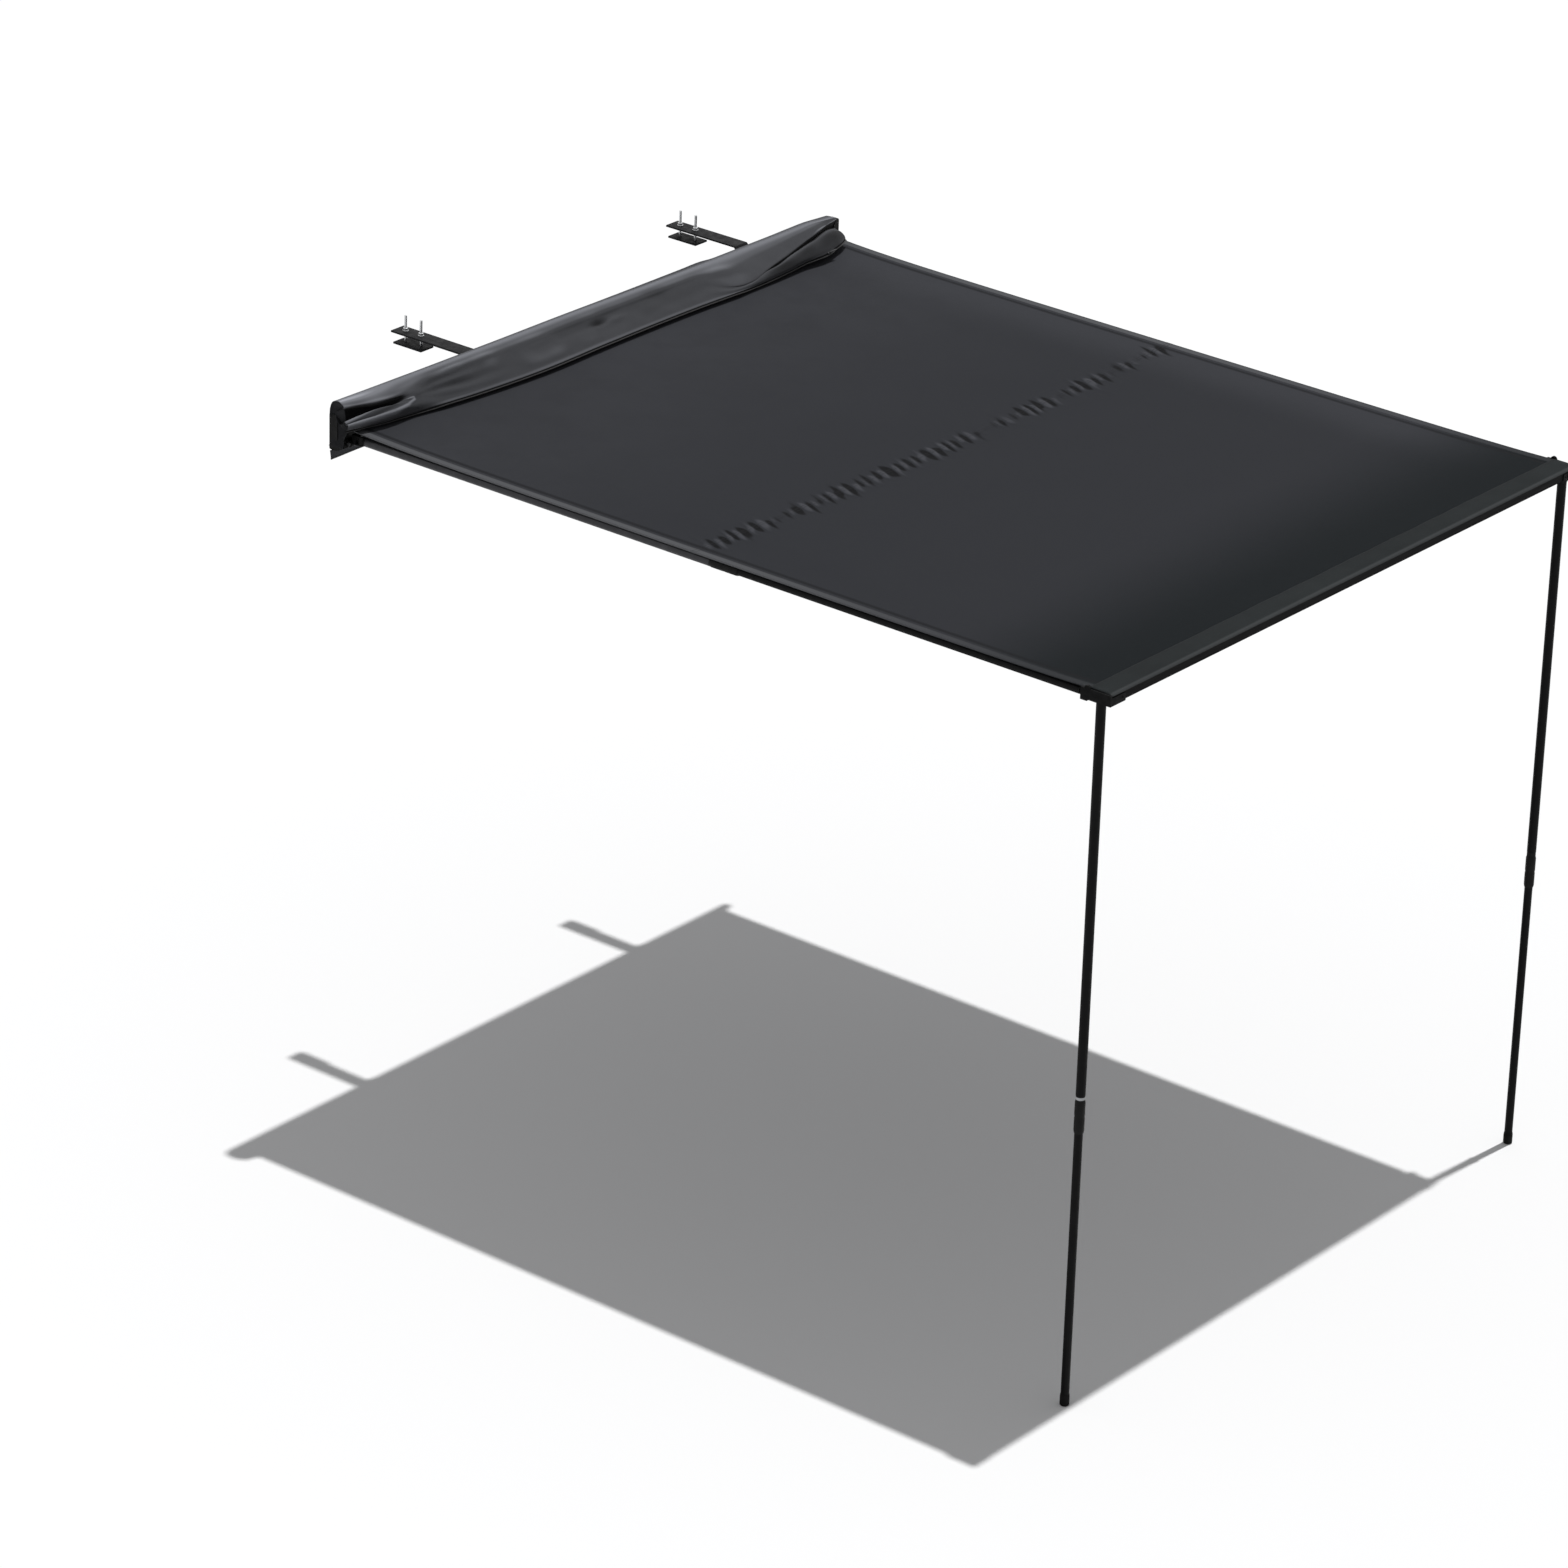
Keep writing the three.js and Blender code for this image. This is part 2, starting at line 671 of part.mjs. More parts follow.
function canopyLine(y) {
  const after = Math.max(1, canopyHeights.findIndex(([place]) => place <= y));
  const [[y0, z0], [y1, z1]] = [canopyHeights[after - 1], canopyHeights[after]];
  return z0 + ((z1 - z0) * (y - y0)) / (y1 - y0);
}

function canopyMiddle(x, y) {
  const across = 1 - (2 * x / canopyWidth) ** 2;
  const out = (y - canopyStart) / (canopyEnd - canopyStart);
  return canopyLine(y) - (sagEdge + sagMiddle * across) * 4 * out * (1 - out);
}

// A closed sheet over a grid of places, with its middle surface and thickness as functions
function sheet(xs, ys, middle, thickness) {
  const vertices = [];
  const faces = [];
  const index = (level, i, j) => level * xs.length * ys.length + i * ys.length + j;
  [1, -1].forEach((level) => xs.forEach((x) => ys.forEach((y) => {
    vertices.push(x, y, middle(x, y) + (level * thickness(x, y)) / 2);
  })));
  const quad = (a, b, c, d) => faces.push(a, b, c, a, c, d);
  for (let i = 0; i + 1 < xs.length; i += 1) {
    for (let j = 0; j + 1 < ys.length; j += 1) {
      quad(index(0, i, j), index(0, i, j + 1), index(0, i + 1, j + 1), index(0, i + 1, j));
      quad(index(1, i, j), index(1, i + 1, j), index(1, i + 1, j + 1), index(1, i, j + 1));
    }
  }
  for (let i = 0; i + 1 < xs.length; i += 1) {
    const last = ys.length - 1;
    quad(index(0, i, 0), index(0, i + 1, 0), index(1, i + 1, 0), index(1, i, 0));
    quad(index(0, i + 1, last), index(0, i, last), index(1, i, last), index(1, i + 1, last));
  }
  for (let j = 0; j + 1 < ys.length; j += 1) {
    const last = xs.length - 1;
    quad(index(0, 0, j + 1), index(0, 0, j), index(1, 0, j), index(1, 0, j + 1));
    quad(index(0, last, j), index(0, last, j + 1), index(1, last, j + 1), index(1, last, j));
  }
  const geometry = new THREE.BufferGeometry();
  geometry.setAttribute('position', new THREE.BufferAttribute(new Float32Array(vertices), 3));
  geometry.setIndex(faces);
  return geometry;
}

function canopy() {
  const half = canopyWidth / 2;
  const hemEdge = half - sideHem;
  const seamY = canopyStart + (canopyEnd - canopyStart) * seamShare;
  const xs = [
    ...columnShares.map((share) => share * hemEdge),
    -half, half, -hemEdge - hemStep, hemEdge + hemStep,
  ].sort((a, b) => a - b);
  const ys = [
    ...rowShares.map((share) => canopyStart + (canopyEnd - canopyStart) * share),
    ...[-1, 1].flatMap((way) => [seamY + way * seamWidth / 2, seamY + way * (seamWidth / 2 + hemStep)]),
  ].sort((a, b) => b - a);
  const thick = (x, y) => {
    const inHem = Math.abs(x) > hemEdge + hemStep / 2;
    const inSeam = Math.abs(y - seamY) < seamWidth / 2 + hemStep / 2;
    return inHem || inSeam ? hemThickness : clothThickness;
  };
  return sheet(xs, ys, canopyMiddle, thick);
}

add('canopy', canopy(), 'canopyCloth');

// Swivel blocks: a hub on the tilt pin and a fork for the swing pin. The far one is the near one
// turned over, so that the arms fold past each other.
const hubRadius = 9;
const hubHalf = 10;
const forkRadius = 11;
const forkWall = 3.5;
const eyeHalf = 9;
const forkGap = 9.3;
const forkRoot = -60;

function swivelBlock(side) {
  const centre = side * armSpread;
  const plane = tilt.z - side * armPlaneOffset;
  const hub = rod('x', tilt.y, tilt.z, hubRadius, centre - hubHalf, centre + hubHalf);
  const levels = [plane - forkGap - forkWall, plane + forkGap + forkWall];
  const web = box([centre - hubHalf, centre + hubHalf], [forkRoot, tilt.y - hubRadius * 0.6], levels);
  const ear = (low) => drawn('z', [
    ...circle(centre, swingPinY, forkRadius).filter(([, y]) => y < swingPinY),
    [centre + forkRadius, forkRoot + merge],
    [centre - forkRadius, forkRoot + merge],
  ], low, low + forkWall);
  const whole = joined([hub, web, ear(levels[0]), ear(levels[1] - forkWall)]);
  return cut(whole, [
    rod('x', tilt.y, tilt.z, pinHole, centre - hubHalf - overrun, centre + hubHalf + overrun, smallSides),
    rod('z', centre, swingPinY, pinHole, levels[0] - overrun, levels[1] + overrun, smallSides),
  ]);
}

function swingPin(side) {
  const centre = side * armSpread;
  const plane = tilt.z - side * armPlaneOffset;
  const outer = plane - side * (forkGap + forkWall);
  const inner = plane + side * (forkGap + forkWall);
  const profile = [
    [inner + side * 2 * seat, pinRadius],
    [outer - side * seat, pinRadius],
    [outer - side * seat, pinHead.radius],
    [outer - side * (seat + pinHead.height), pinHead.radius * 0.8],
  ];
  return turned('z', centre, swingPinY, side > 0 ? profile.reverse() : profile, smallSides);
}

ends.forEach(({ name, side }) => {
  add(`swivel_block_${name}`, swivelBlock(side), 'castBlack');
  add(`swing_pin_${name}`, swingPin(side), 'steel');
});

// Arms
const armTubeStart = -92;
const eyeRadius = 10.5;
const plugEnd = -125;
const boreRadius = tubeRadius - tubeWall;
const innerBore = innerTubeRadius - tubeWall;
const armInnerStart = armOuterEnd + armOverlap;
const crossBar = { y: -reach + tipSetback, radius: 8, half: 12 };
const tipNeckLength = 22;
const armInnerEnd = crossBar.y + tipNeckLength;
const tipNeck = 12;
const tubePlug = 30;
const shoulder = 4;                    // a plug's step on the end of its tube
const gripBevel = 1.3;
const gripGroove = 0.8;

// The outer, twist-lock end of a telescopic tube: a collar with a tapered, grooved grip
function gripCollar(axis, u, v, from, length) {
  const profile = [
    [0, collarRadius - gripBevel],
    [length * 0.06, collarRadius],
    [length * 0.45, collarRadius],
    [length * 0.5, collarRadius - gripGroove],
    [length * 0.55, collarRadius],
    [length * 0.92, collarRadius],
    [length, collarRadius - gripBevel],
  ];
  const direction = Math.sign(length);
  const body = turned(axis, u, v, (direction > 0 ? profile : [...profile].reverse()).map(
    ([along, radius]) => [from + along, radius],
  ));
  const through = [Math.min(from, from + length) - overrun, Math.max(from, from + length) + overrun];
  return cut(body, [rod(axis, u, v, innerTubeRadius + slip, ...through)]);
}

// An inner tube, closed at its inner end by the cam plug that grips the outer tube when twisted
function innerTube(axis, u, v, from, to) {
  const tube = ring(axis, u, v, innerTubeRadius, innerBore, from, to);
  const cam = turned(axis, u, v, [
    [to - camLength / 2, innerBore + slip],
    [to - slip, innerBore + slip],
    [to - slip, boreRadius - camGap],
    [to + camLength * 0.8, boreRadius - camGap],
    [to + camLength, innerBore],
  ]);
  return joined([tube, cam]);
}

function armEye(centre, plane) {
  const eye = rod('z', centre, swingPinY, eyeRadius, plane - eyeHalf, plane + eyeHalf);
  const neck = rod('y', plane, centre, eyeHalf, armTubeStart, swingPinY - pinHole - merge, smallSides);
  const plug = turned('y', plane, centre, [
    [plugEnd, boreRadius - slip],
    [armTubeStart, boreRadius - slip],
    [armTubeStart, tubeRadius],
    [armTubeStart + shoulder, tubeRadius],
    [armTubeStart + shoulder + merge, eyeHalf],
  ]);
  const through = [plane - eyeHalf - overrun, plane + eyeHalf + overrun];
  return cut(joined([eye, neck, plug]), [rod('z', centre, swingPinY, pinHole, ...through, smallSides)]);
}

function armTip(centre, plane) {
  const bar = rod('x', crossBar.y, plane, crossBar.radius, centre - crossBar.half, centre + crossBar.half);
  const neck = box(
    [centre - tipNeck / 2, centre + tipNeck / 2],
    [crossBar.y, armInnerEnd - seat - merge],
    [plane - tipNeck / 2, plane + tipNeck / 2],
  );
  const plug = turned('y', plane, centre, [
    [armInnerEnd - seat - shoulder, innerTubeRadius],
    [armInnerEnd - seat, innerTubeRadius],
    [armInnerEnd - seat, innerBore - slip],
    [armInnerEnd + tubePlug, innerBore - slip],
  ]);
  return joined([bar, neck, plug]);
}

ends.forEach(({ name, side }) => {
  const centre = side * armSpread;
  const plane = tilt.z - side * armPlaneOffset;
  const outerTube = ring('y', plane, centre, tubeRadius, boreRadius, armOuterEnd, armTubeStart - seat);
  add(`arm_eye_${name}`, armEye(centre, plane), 'castBlack');
  add(`arm_tube_${name}`, outerTube, 'tubeBlack');
  const collar = gripCollar('y', plane, centre, armOuterEnd - seat, -armCollarLength);
  add(`arm_collar_${name}`, collar, 'gripBlack');
  add(`arm_inner_${name}`, innerTube('y', plane, centre, armInnerEnd, armInnerStart), 'tubeBlack');
  add(`arm_tip_${name}`, armTip(centre, plane), 'castBlack');
});

// Front beam
const canopyHalf = canopyWidth / 2;
const legSpread = canopyHalf - legInset;
const legPinHole = pinHole;
const lipThickness = 2;
const lipTop = -6;
const lipScrewDrop = 9;
const beamBottom = beamTop - beamHeight;
const blockDepth = 20;
const blockLength = 55;
const blockBack = beamBack + blockDepth;
const blockInner = canopyHalf - blockLength;
const blockDrop = 3;                   // block's top below the beam's top
const plateThickness = 6;
const plateBelow = 3;
const plateAbove = 1;
const castingOuter = canopyHalf + seat + plateThickness;
const castingScrew = { inset: 10, radius: 2, head: 3.4, headHeight: 2 };
const castingScrewX = blockInner + castingScrew.inset;
const rearScrewZ = beamTop - blockDrop - castingScrew.head;
const lipScrewZ = lipTop - lipScrewDrop;
const legLaneY = { near: innerLaneY, far: outerLaneY };

function beamOutline() {
  const laneTop = beamTop - beamWall;
  const laneLine = collarRadius + laneClear;
  const bossReach = laneLine * Math.SQRT2;
  const boss = [
    [-reach + beamWall, legPivotZ + bossReach - lane / 2],
    [outerLaneY + (laneTop - legPivotZ) - bossReach, laneTop],
  ];
  return [
    [-reach, beamBottom],
    [-reach + beamWall, beamBottom],
    ...boss,
    [-reach + beamWall + lane, laneTop],
    [-reach + beamWall + lane, beamBottom],
    [beamBack - beamWall - lane, beamBottom],
    [beamBack - beamWall - lane, laneTop],
    [beamBack - beamWall, laneTop],
    [beamBack - beamWall, beamBottom],
    [beamBack, beamBottom],
    [beamBack, beamTop],
    [-reach, beamTop],
    ...grooveOutline(beamGroove, [-1, 0], -reach, -1),
  ];
}

function throughBeam(x, z, radius, from, to) {
  return rod('y', z, x, radius, from, to, smallSides);
}

function screwHole(side, z, from, to) {
  return throughBeam(side * castingScrewX, z, castingScrew.radius + slip, from, to);
}

function frontBeam() {
  const body = drawn('x', beamOutline(), -canopyHalf, canopyHalf);
  const laneHalf = lane / 2 + beamWall + overrun;
  const holes = ends.flatMap(({ name, side }) => {
    const across = [legLaneY[name] - laneHalf, legLaneY[name] + laneHalf];
    return [
      throughBeam(side * legSpread, legPivotZ, legPinHole, ...across),
      screwHole(side, rearScrewZ, beamBack - beamWall - overrun, beamBack + overrun),
      screwHole(side, lipScrewZ, -reach - overrun, -reach + beamWall + overrun),
    ];
  });
  return cut(body, holes);
}

// Corner casting: an end plate, a lip on the beam's front face, and a block behind the beam with
// a seat, open to the rear and inwards, for the arm tip's cross bar
const seatHalf = 8.5;
const seatRelief = 2.5;
const seatBottom = crossBar.y - crossBar.radius - seatRelief;
const earBump = { y: beamBack, radius: 9, top: 10 };
const blockWall = 4.5;

function cornerCasting(name, side) {
  const plane = tilt.z - side * armPlaneOffset;
  const x = (a, b) => [Math.min(side * a, side * b), Math.max(side * a, side * b)];
  const blockLow = plane - seatHalf - blockWall;
  const plateBottom = beamBottom - plateBelow;
  const inner = canopyHalf + seat;
  const lipY = [-reach - seat - lipThickness, -reach - seat];
  const plateHeights = [plateBottom, beamTop + plateAbove];
  const endPlate = box(x(inner, castingOuter), [lipY[0], blockBack], plateHeights);
  const lip = box(x(blockInner, castingOuter), lipY, [plateBottom, lipTop]);
  const blockHeights = [blockLow, beamTop - blockDrop];
  const block = box(x(blockInner, castingOuter), [beamBack + seat, blockBack], blockHeights);
  const bumpZ = earBump.top - earBump.radius;
  const bump = drawn('x', [
    ...circle(earBump.y, bumpZ, earBump.radius).filter(([, z]) => z > bumpZ),
    [earBump.y - earBump.radius, beamTop - merge],
    [earBump.y + earBump.radius, beamTop - merge],
  ], ...x(inner, castingOuter));
  const seatOutline = [
    ...circle(seatBottom + seatHalf, plane, seatHalf).filter(([y]) => y < seatBottom + seatHalf),
    [blockBack + overrun, plane - seatHalf],
    [blockBack + overrun, plane + seatHalf],
  ];
  const seatCut = drawn('x', seatOutline, ...x(blockInner - overrun, inner));
  const pinHoles = name === 'far'
    ? [throughBeam(side * legSpread, legPivotZ, legPinHole, -reach - lipThickness - overrun, -reach)]
    : [];
  const whole = cut(joined([endPlate, lip, block, bump]), [seatCut, ...pinHoles]);
  return joined([whole, ...castingScrews(side)]);
}

// The screws that hold a casting to the beam's outer and inner walls
function castingScrews(side) {
  const x = side * castingScrewX;
  const { radius, head, headHeight } = castingScrew;
  const lipFace = -reach - seat - lipThickness;
  const front = turned('y', lipScrewZ, x, [
    [lipFace - headHeight, head * 0.7],
    [lipFace, head],
    [lipFace + lipThickness / 2, head],
    [lipFace + lipThickness / 2, radius],
    [-reach + beamWall - slip, radius],
  ], smallSides);
  const rear = turned('y', rearScrewZ, x, [
    [beamBack - beamWall + slip, radius],
    [blockBack - headHeight, radius],
    [blockBack - headHeight, head],
    [blockBack, head],
    [blockBack + headHeight, head * 0.7],
  ], smallSides);
  return [front, rear];
}

// Leg pivots: the near one is flush in the web and the inner wall, the far one has a head in front
function legPin(name, side) {
  const x = side * legSpread;
  if (name === 'near') {
    const from = innerLaneY - lane / 2 - beamWall + seat;
    return rod('y', legPivotZ, x, pinRadius, from, beamBack - seat, smallSides);
  }
  const to = outerLaneY + lane / 2 + beamWall - seat;
  return headedPin('y', legPivotZ, x, -reach - lipThickness - 2 * seat, to);
}

// The canopy's front hem: over the beam's top, round its front edge and into its groove
const wrapThickness = 0.9;

function frontWrap() {
  const top = beamTop + seat + wrapThickness / 2;
  const front = -reach - seat - wrapThickness / 2;
  const line = [
    [-reach + wrapWidth, top],
    [-reach + wrapThickness, top],
    [-reach - seat, top - seat],
    [front, top - 1.5 * wrapThickness],
    [front, beamGroove.z + wrapThickness],
    [front + wrapThickness / 2, beamGroove.z],
    [beamGroove.y, beamGroove.z],
  ];
  const cloth = drawn('x', ribbon(line, wrapThickness), -canopyHalf, canopyHalf);
  const bead = rod('x', beamGroove.y, beamGroove.z, beadRadiusSmall, -canopyHalf, canopyHalf, smallSides);
  return joined([cloth, bead]);
}

add('front_beam', frontBeam(), 'railBlack');
ends.forEach(({ name, side }) => add(`corner_casting_${name}`, cornerCasting(name, side), 'castBlack'));
ends.forEach(({ name, side }) => add(`leg_pivot_pin_${name}`, legPin(name, side), 'steel'));
add('canopy_front_wrap', frontWrap(), 'canopyCloth');

// Legs
const headGap = 1;                     // leg's head to the lane's walls
const headHalf = lane / 2 - headGap;
const headBevel = 5;
const footBevel = 3;
const ground = -mountHeight;
const ringBottom = ringTop - seat - ringLength;
const collarTop = ringBottom - seat;
const footTop = ground + footHeight;
const legInnerTop = ringTop + legOverlap;
const legInnerBottom = ground + footHeight - footSocket;
const ringRadius = 12.1;

function legHead(x, y) {
  const eye = turned('y', legPivotZ, x, [
    [y - headHalf, legHeadRadius - headBevel],
    [y - headHalf + headBevel, legHeadRadius],
    [y + headHalf - headBevel, legHeadRadius],
    [y + headHalf, legHeadRadius - headBevel],
  ]);
  const neckY = [y - headHalf + headBevel, y + headHalf - headBevel];
  const neck = box([x - legHeadRadius, x + legHeadRadius], neckY, [legTubeTop + merge, legPivotZ]);
  const plug = turned('z', x, y, [
    [legTubeTop - tubePlug, boreRadius - slip],
    [legTubeTop, boreRadius - slip],
    [legTubeTop, tubeRadius],
    [legTubeTop + shoulder, tubeRadius],
  ]);
  return cut(joined([eye, neck, plug]), [
    rod('y', legPivotZ, x, pinHole, y - headHalf - overrun, y + headHalf + overrun, smallSides),
  ]);
}

// A foot with a slimmer ring round its top
function foot(x, y) {
  const body = turned('z', x, y, [
    [ground, tubeRadius - footBevel],
    [ground + footBevel, tubeRadius],
    [footTop - footRingLength, tubeRadius],
    [footTop - footRingLength, ringRadius],
    [footTop, ringRadius],
  ]);
  return cut(body, [rod('z', x, y, innerTubeRadius + slip, legInnerBottom - seat, footTop + overrun)]);
}

ends.forEach(({ name, side }) => {
  const x = side * legSpread;
  const y = legLaneY[name];
  const sleeve = (radius, low, high) => ring('z', x, y, radius, innerTubeRadius + slip, low, high);
  add(`leg_head_${name}`, legHead(x, y), 'castBlack');
  add(`leg_tube_${name}`, ring('z', x, y, tubeRadius, boreRadius, ringTop, legTubeTop - seat), 'tubeBlack');
  add(`leg_ring_${name}`, sleeve(ringRadius, ringBottom, ringTop - seat), 'brightPlastic');
  add(`leg_collar_${name}`, gripCollar('z', x, y, collarTop, -legCollarLength), 'gripBlack');
  add(`leg_inner_${name}`, innerTube('z', x, y, legInnerBottom, legInnerTop), 'tubeBlack');
  add(`foot_${name}`, foot(x, y), 'rubber');
});

export default awning;
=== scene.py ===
"""A vehicle side awning, open on its legs: cloth, cover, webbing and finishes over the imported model."""

import json
import math

import bpy
import numpy as np
from mathutils import Matrix, Vector


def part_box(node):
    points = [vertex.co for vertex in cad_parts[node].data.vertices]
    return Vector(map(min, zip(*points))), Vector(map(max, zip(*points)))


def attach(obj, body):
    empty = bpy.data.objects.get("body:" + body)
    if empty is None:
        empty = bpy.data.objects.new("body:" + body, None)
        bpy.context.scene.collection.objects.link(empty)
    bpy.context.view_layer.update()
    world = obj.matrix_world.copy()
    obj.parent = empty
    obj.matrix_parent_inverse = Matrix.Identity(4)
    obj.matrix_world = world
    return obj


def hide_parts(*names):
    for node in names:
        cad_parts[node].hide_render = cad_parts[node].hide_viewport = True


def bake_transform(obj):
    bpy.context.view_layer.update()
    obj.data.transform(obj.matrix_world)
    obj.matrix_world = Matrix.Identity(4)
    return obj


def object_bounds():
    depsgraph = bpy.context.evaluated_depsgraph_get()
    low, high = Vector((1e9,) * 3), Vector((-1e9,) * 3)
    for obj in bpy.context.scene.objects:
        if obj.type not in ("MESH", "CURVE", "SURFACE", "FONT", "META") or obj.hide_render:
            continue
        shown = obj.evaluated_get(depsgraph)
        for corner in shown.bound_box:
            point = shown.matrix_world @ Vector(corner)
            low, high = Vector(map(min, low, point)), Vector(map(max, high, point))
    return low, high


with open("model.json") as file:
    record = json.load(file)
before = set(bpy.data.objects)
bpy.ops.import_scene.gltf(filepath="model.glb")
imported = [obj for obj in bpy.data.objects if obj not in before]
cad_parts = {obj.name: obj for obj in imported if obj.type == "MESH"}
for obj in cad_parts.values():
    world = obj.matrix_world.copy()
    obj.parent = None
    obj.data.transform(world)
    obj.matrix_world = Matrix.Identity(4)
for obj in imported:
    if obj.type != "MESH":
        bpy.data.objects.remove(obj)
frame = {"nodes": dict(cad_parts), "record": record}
nodes = frame["nodes"]
model_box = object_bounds()
scene = bpy.context.scene

# Camera, as the photograph was taken

TURN, TILT, ROLL = (math.radians(v) for v in (-51.4211, 24.6162, 1.8104))
FOCAL = 6764.02 / 1568          # focal length over the picture's width
BACK_OFF = 18.1889
SIDEWAYS, UPWARDS = -0.5214, 1.2247
SENSOR = 36.0

back = Vector((math.sin(TURN) * math.cos(TILT), -math.cos(TURN) * math.cos(TILT), math.sin(TILT)))
level = Vector((math.cos(TURN), math.sin(TURN), 0))
upright = back.cross(level)
right = math.cos(ROLL) * level + math.sin(ROLL) * upright
up = -math.sin(ROLL) * level + math.cos(ROLL) * upright
place = BACK_OFF * back - SIDEWAYS * right - UPWARDS * up

lens = bpy.data.cameras.new("camera")
lens.sensor_fit = "HORIZONTAL"
lens.sensor_width = SENSOR
lens.lens = FOCAL * SENSOR
lens.clip_start, lens.clip_end = 0.5, 300
camera = bpy.data.objects.new("camera", lens)
turned = Matrix((right, up, back)).transposed().to_4x4()
turned.translation = place
camera.matrix_world = turned
scene.collection.objects.link(camera)
scene.camera = camera

# Light and floor

scene.view_settings.view_transform = "Standard"

GROUND = model_box[0][2]


# The sun is high and a little beyond the far end, so that the shadow falls where the photograph has it
SUN_AIM = (-0.36, 0.03, -1.965)
SUN_STRENGTH = 2.45
SUN_WIDTH = math.radians(0.8)
SKY_COLOUR = (0.98, 0.985, 1.0)
SKY_STRENGTH = 0.29

sun_light = bpy.data.lights.new("sun", "SUN")
sun_light.energy = SUN_STRENGTH
sun_light.angle = SUN_WIDTH
sun = bpy.data.objects.new("sun", sun_light)
sun.rotation_euler = Vector(SUN_AIM).to_track_quat("-Z", "Y").to_euler()
scene.collection.objects.link(sun)


def seen_rays(tree):
    """1 for what the camera sees straight, in a reflection or through something, and 0 for light."""
    path = tree.nodes.new("ShaderNodeLightPath")
    seen = path.outputs["Is Camera Ray"]
    for ray in ("Is Glossy Ray", "Is Transmission Ray"):
        either = tree.nodes.new("ShaderNodeMath")
        either.operation = "MAXIMUM"
        tree.links.new(seen, either.inputs[0])
        tree.links.new(path.outputs[ray], either.inputs[1])
        seen = either.outputs[0]
    return seen


world = bpy.data.worlds.new("world")
scene.world = world
world.use_nodes = True
tree = world.node_tree
tree.nodes.clear()


def background(colour, strength):
    made = tree.nodes.new("ShaderNodeBackground")
    made.inputs["Color"].default_value = (*colour, 1)
    made.inputs["Strength"].default_value = strength
    return made.outputs[0]


camera_sky = tree.nodes.new("ShaderNodeMixShader")
result = tree.nodes.new("ShaderNodeOutputWorld")
tree.links.new(seen_rays(tree), camera_sky.inputs[0])
tree.links.new(background(SKY_COLOUR, SKY_STRENGTH), camera_sky.inputs[1])
tree.links.new(background((1, 1, 1), 1), camera_sky.inputs[2])
tree.links.new(camera_sky.outputs[0], result.inputs["Surface"])

FLOOR_HALF = 70
floor_mesh = bpy.data.meshes.new("floor")
floor_corners = [(x * FLOOR_HALF, y * FLOOR_HALF, GROUND) for x, y in ((-1, -1), (1, -1), (1, 1), (-1, 1))]
floor_mesh.from_pydata(floor_corners, [], [(0, 1, 2, 3)])
floor = bpy.data.objects.new("floor", floor_mesh)
scene.collection.objects.link(floor)

# Materials


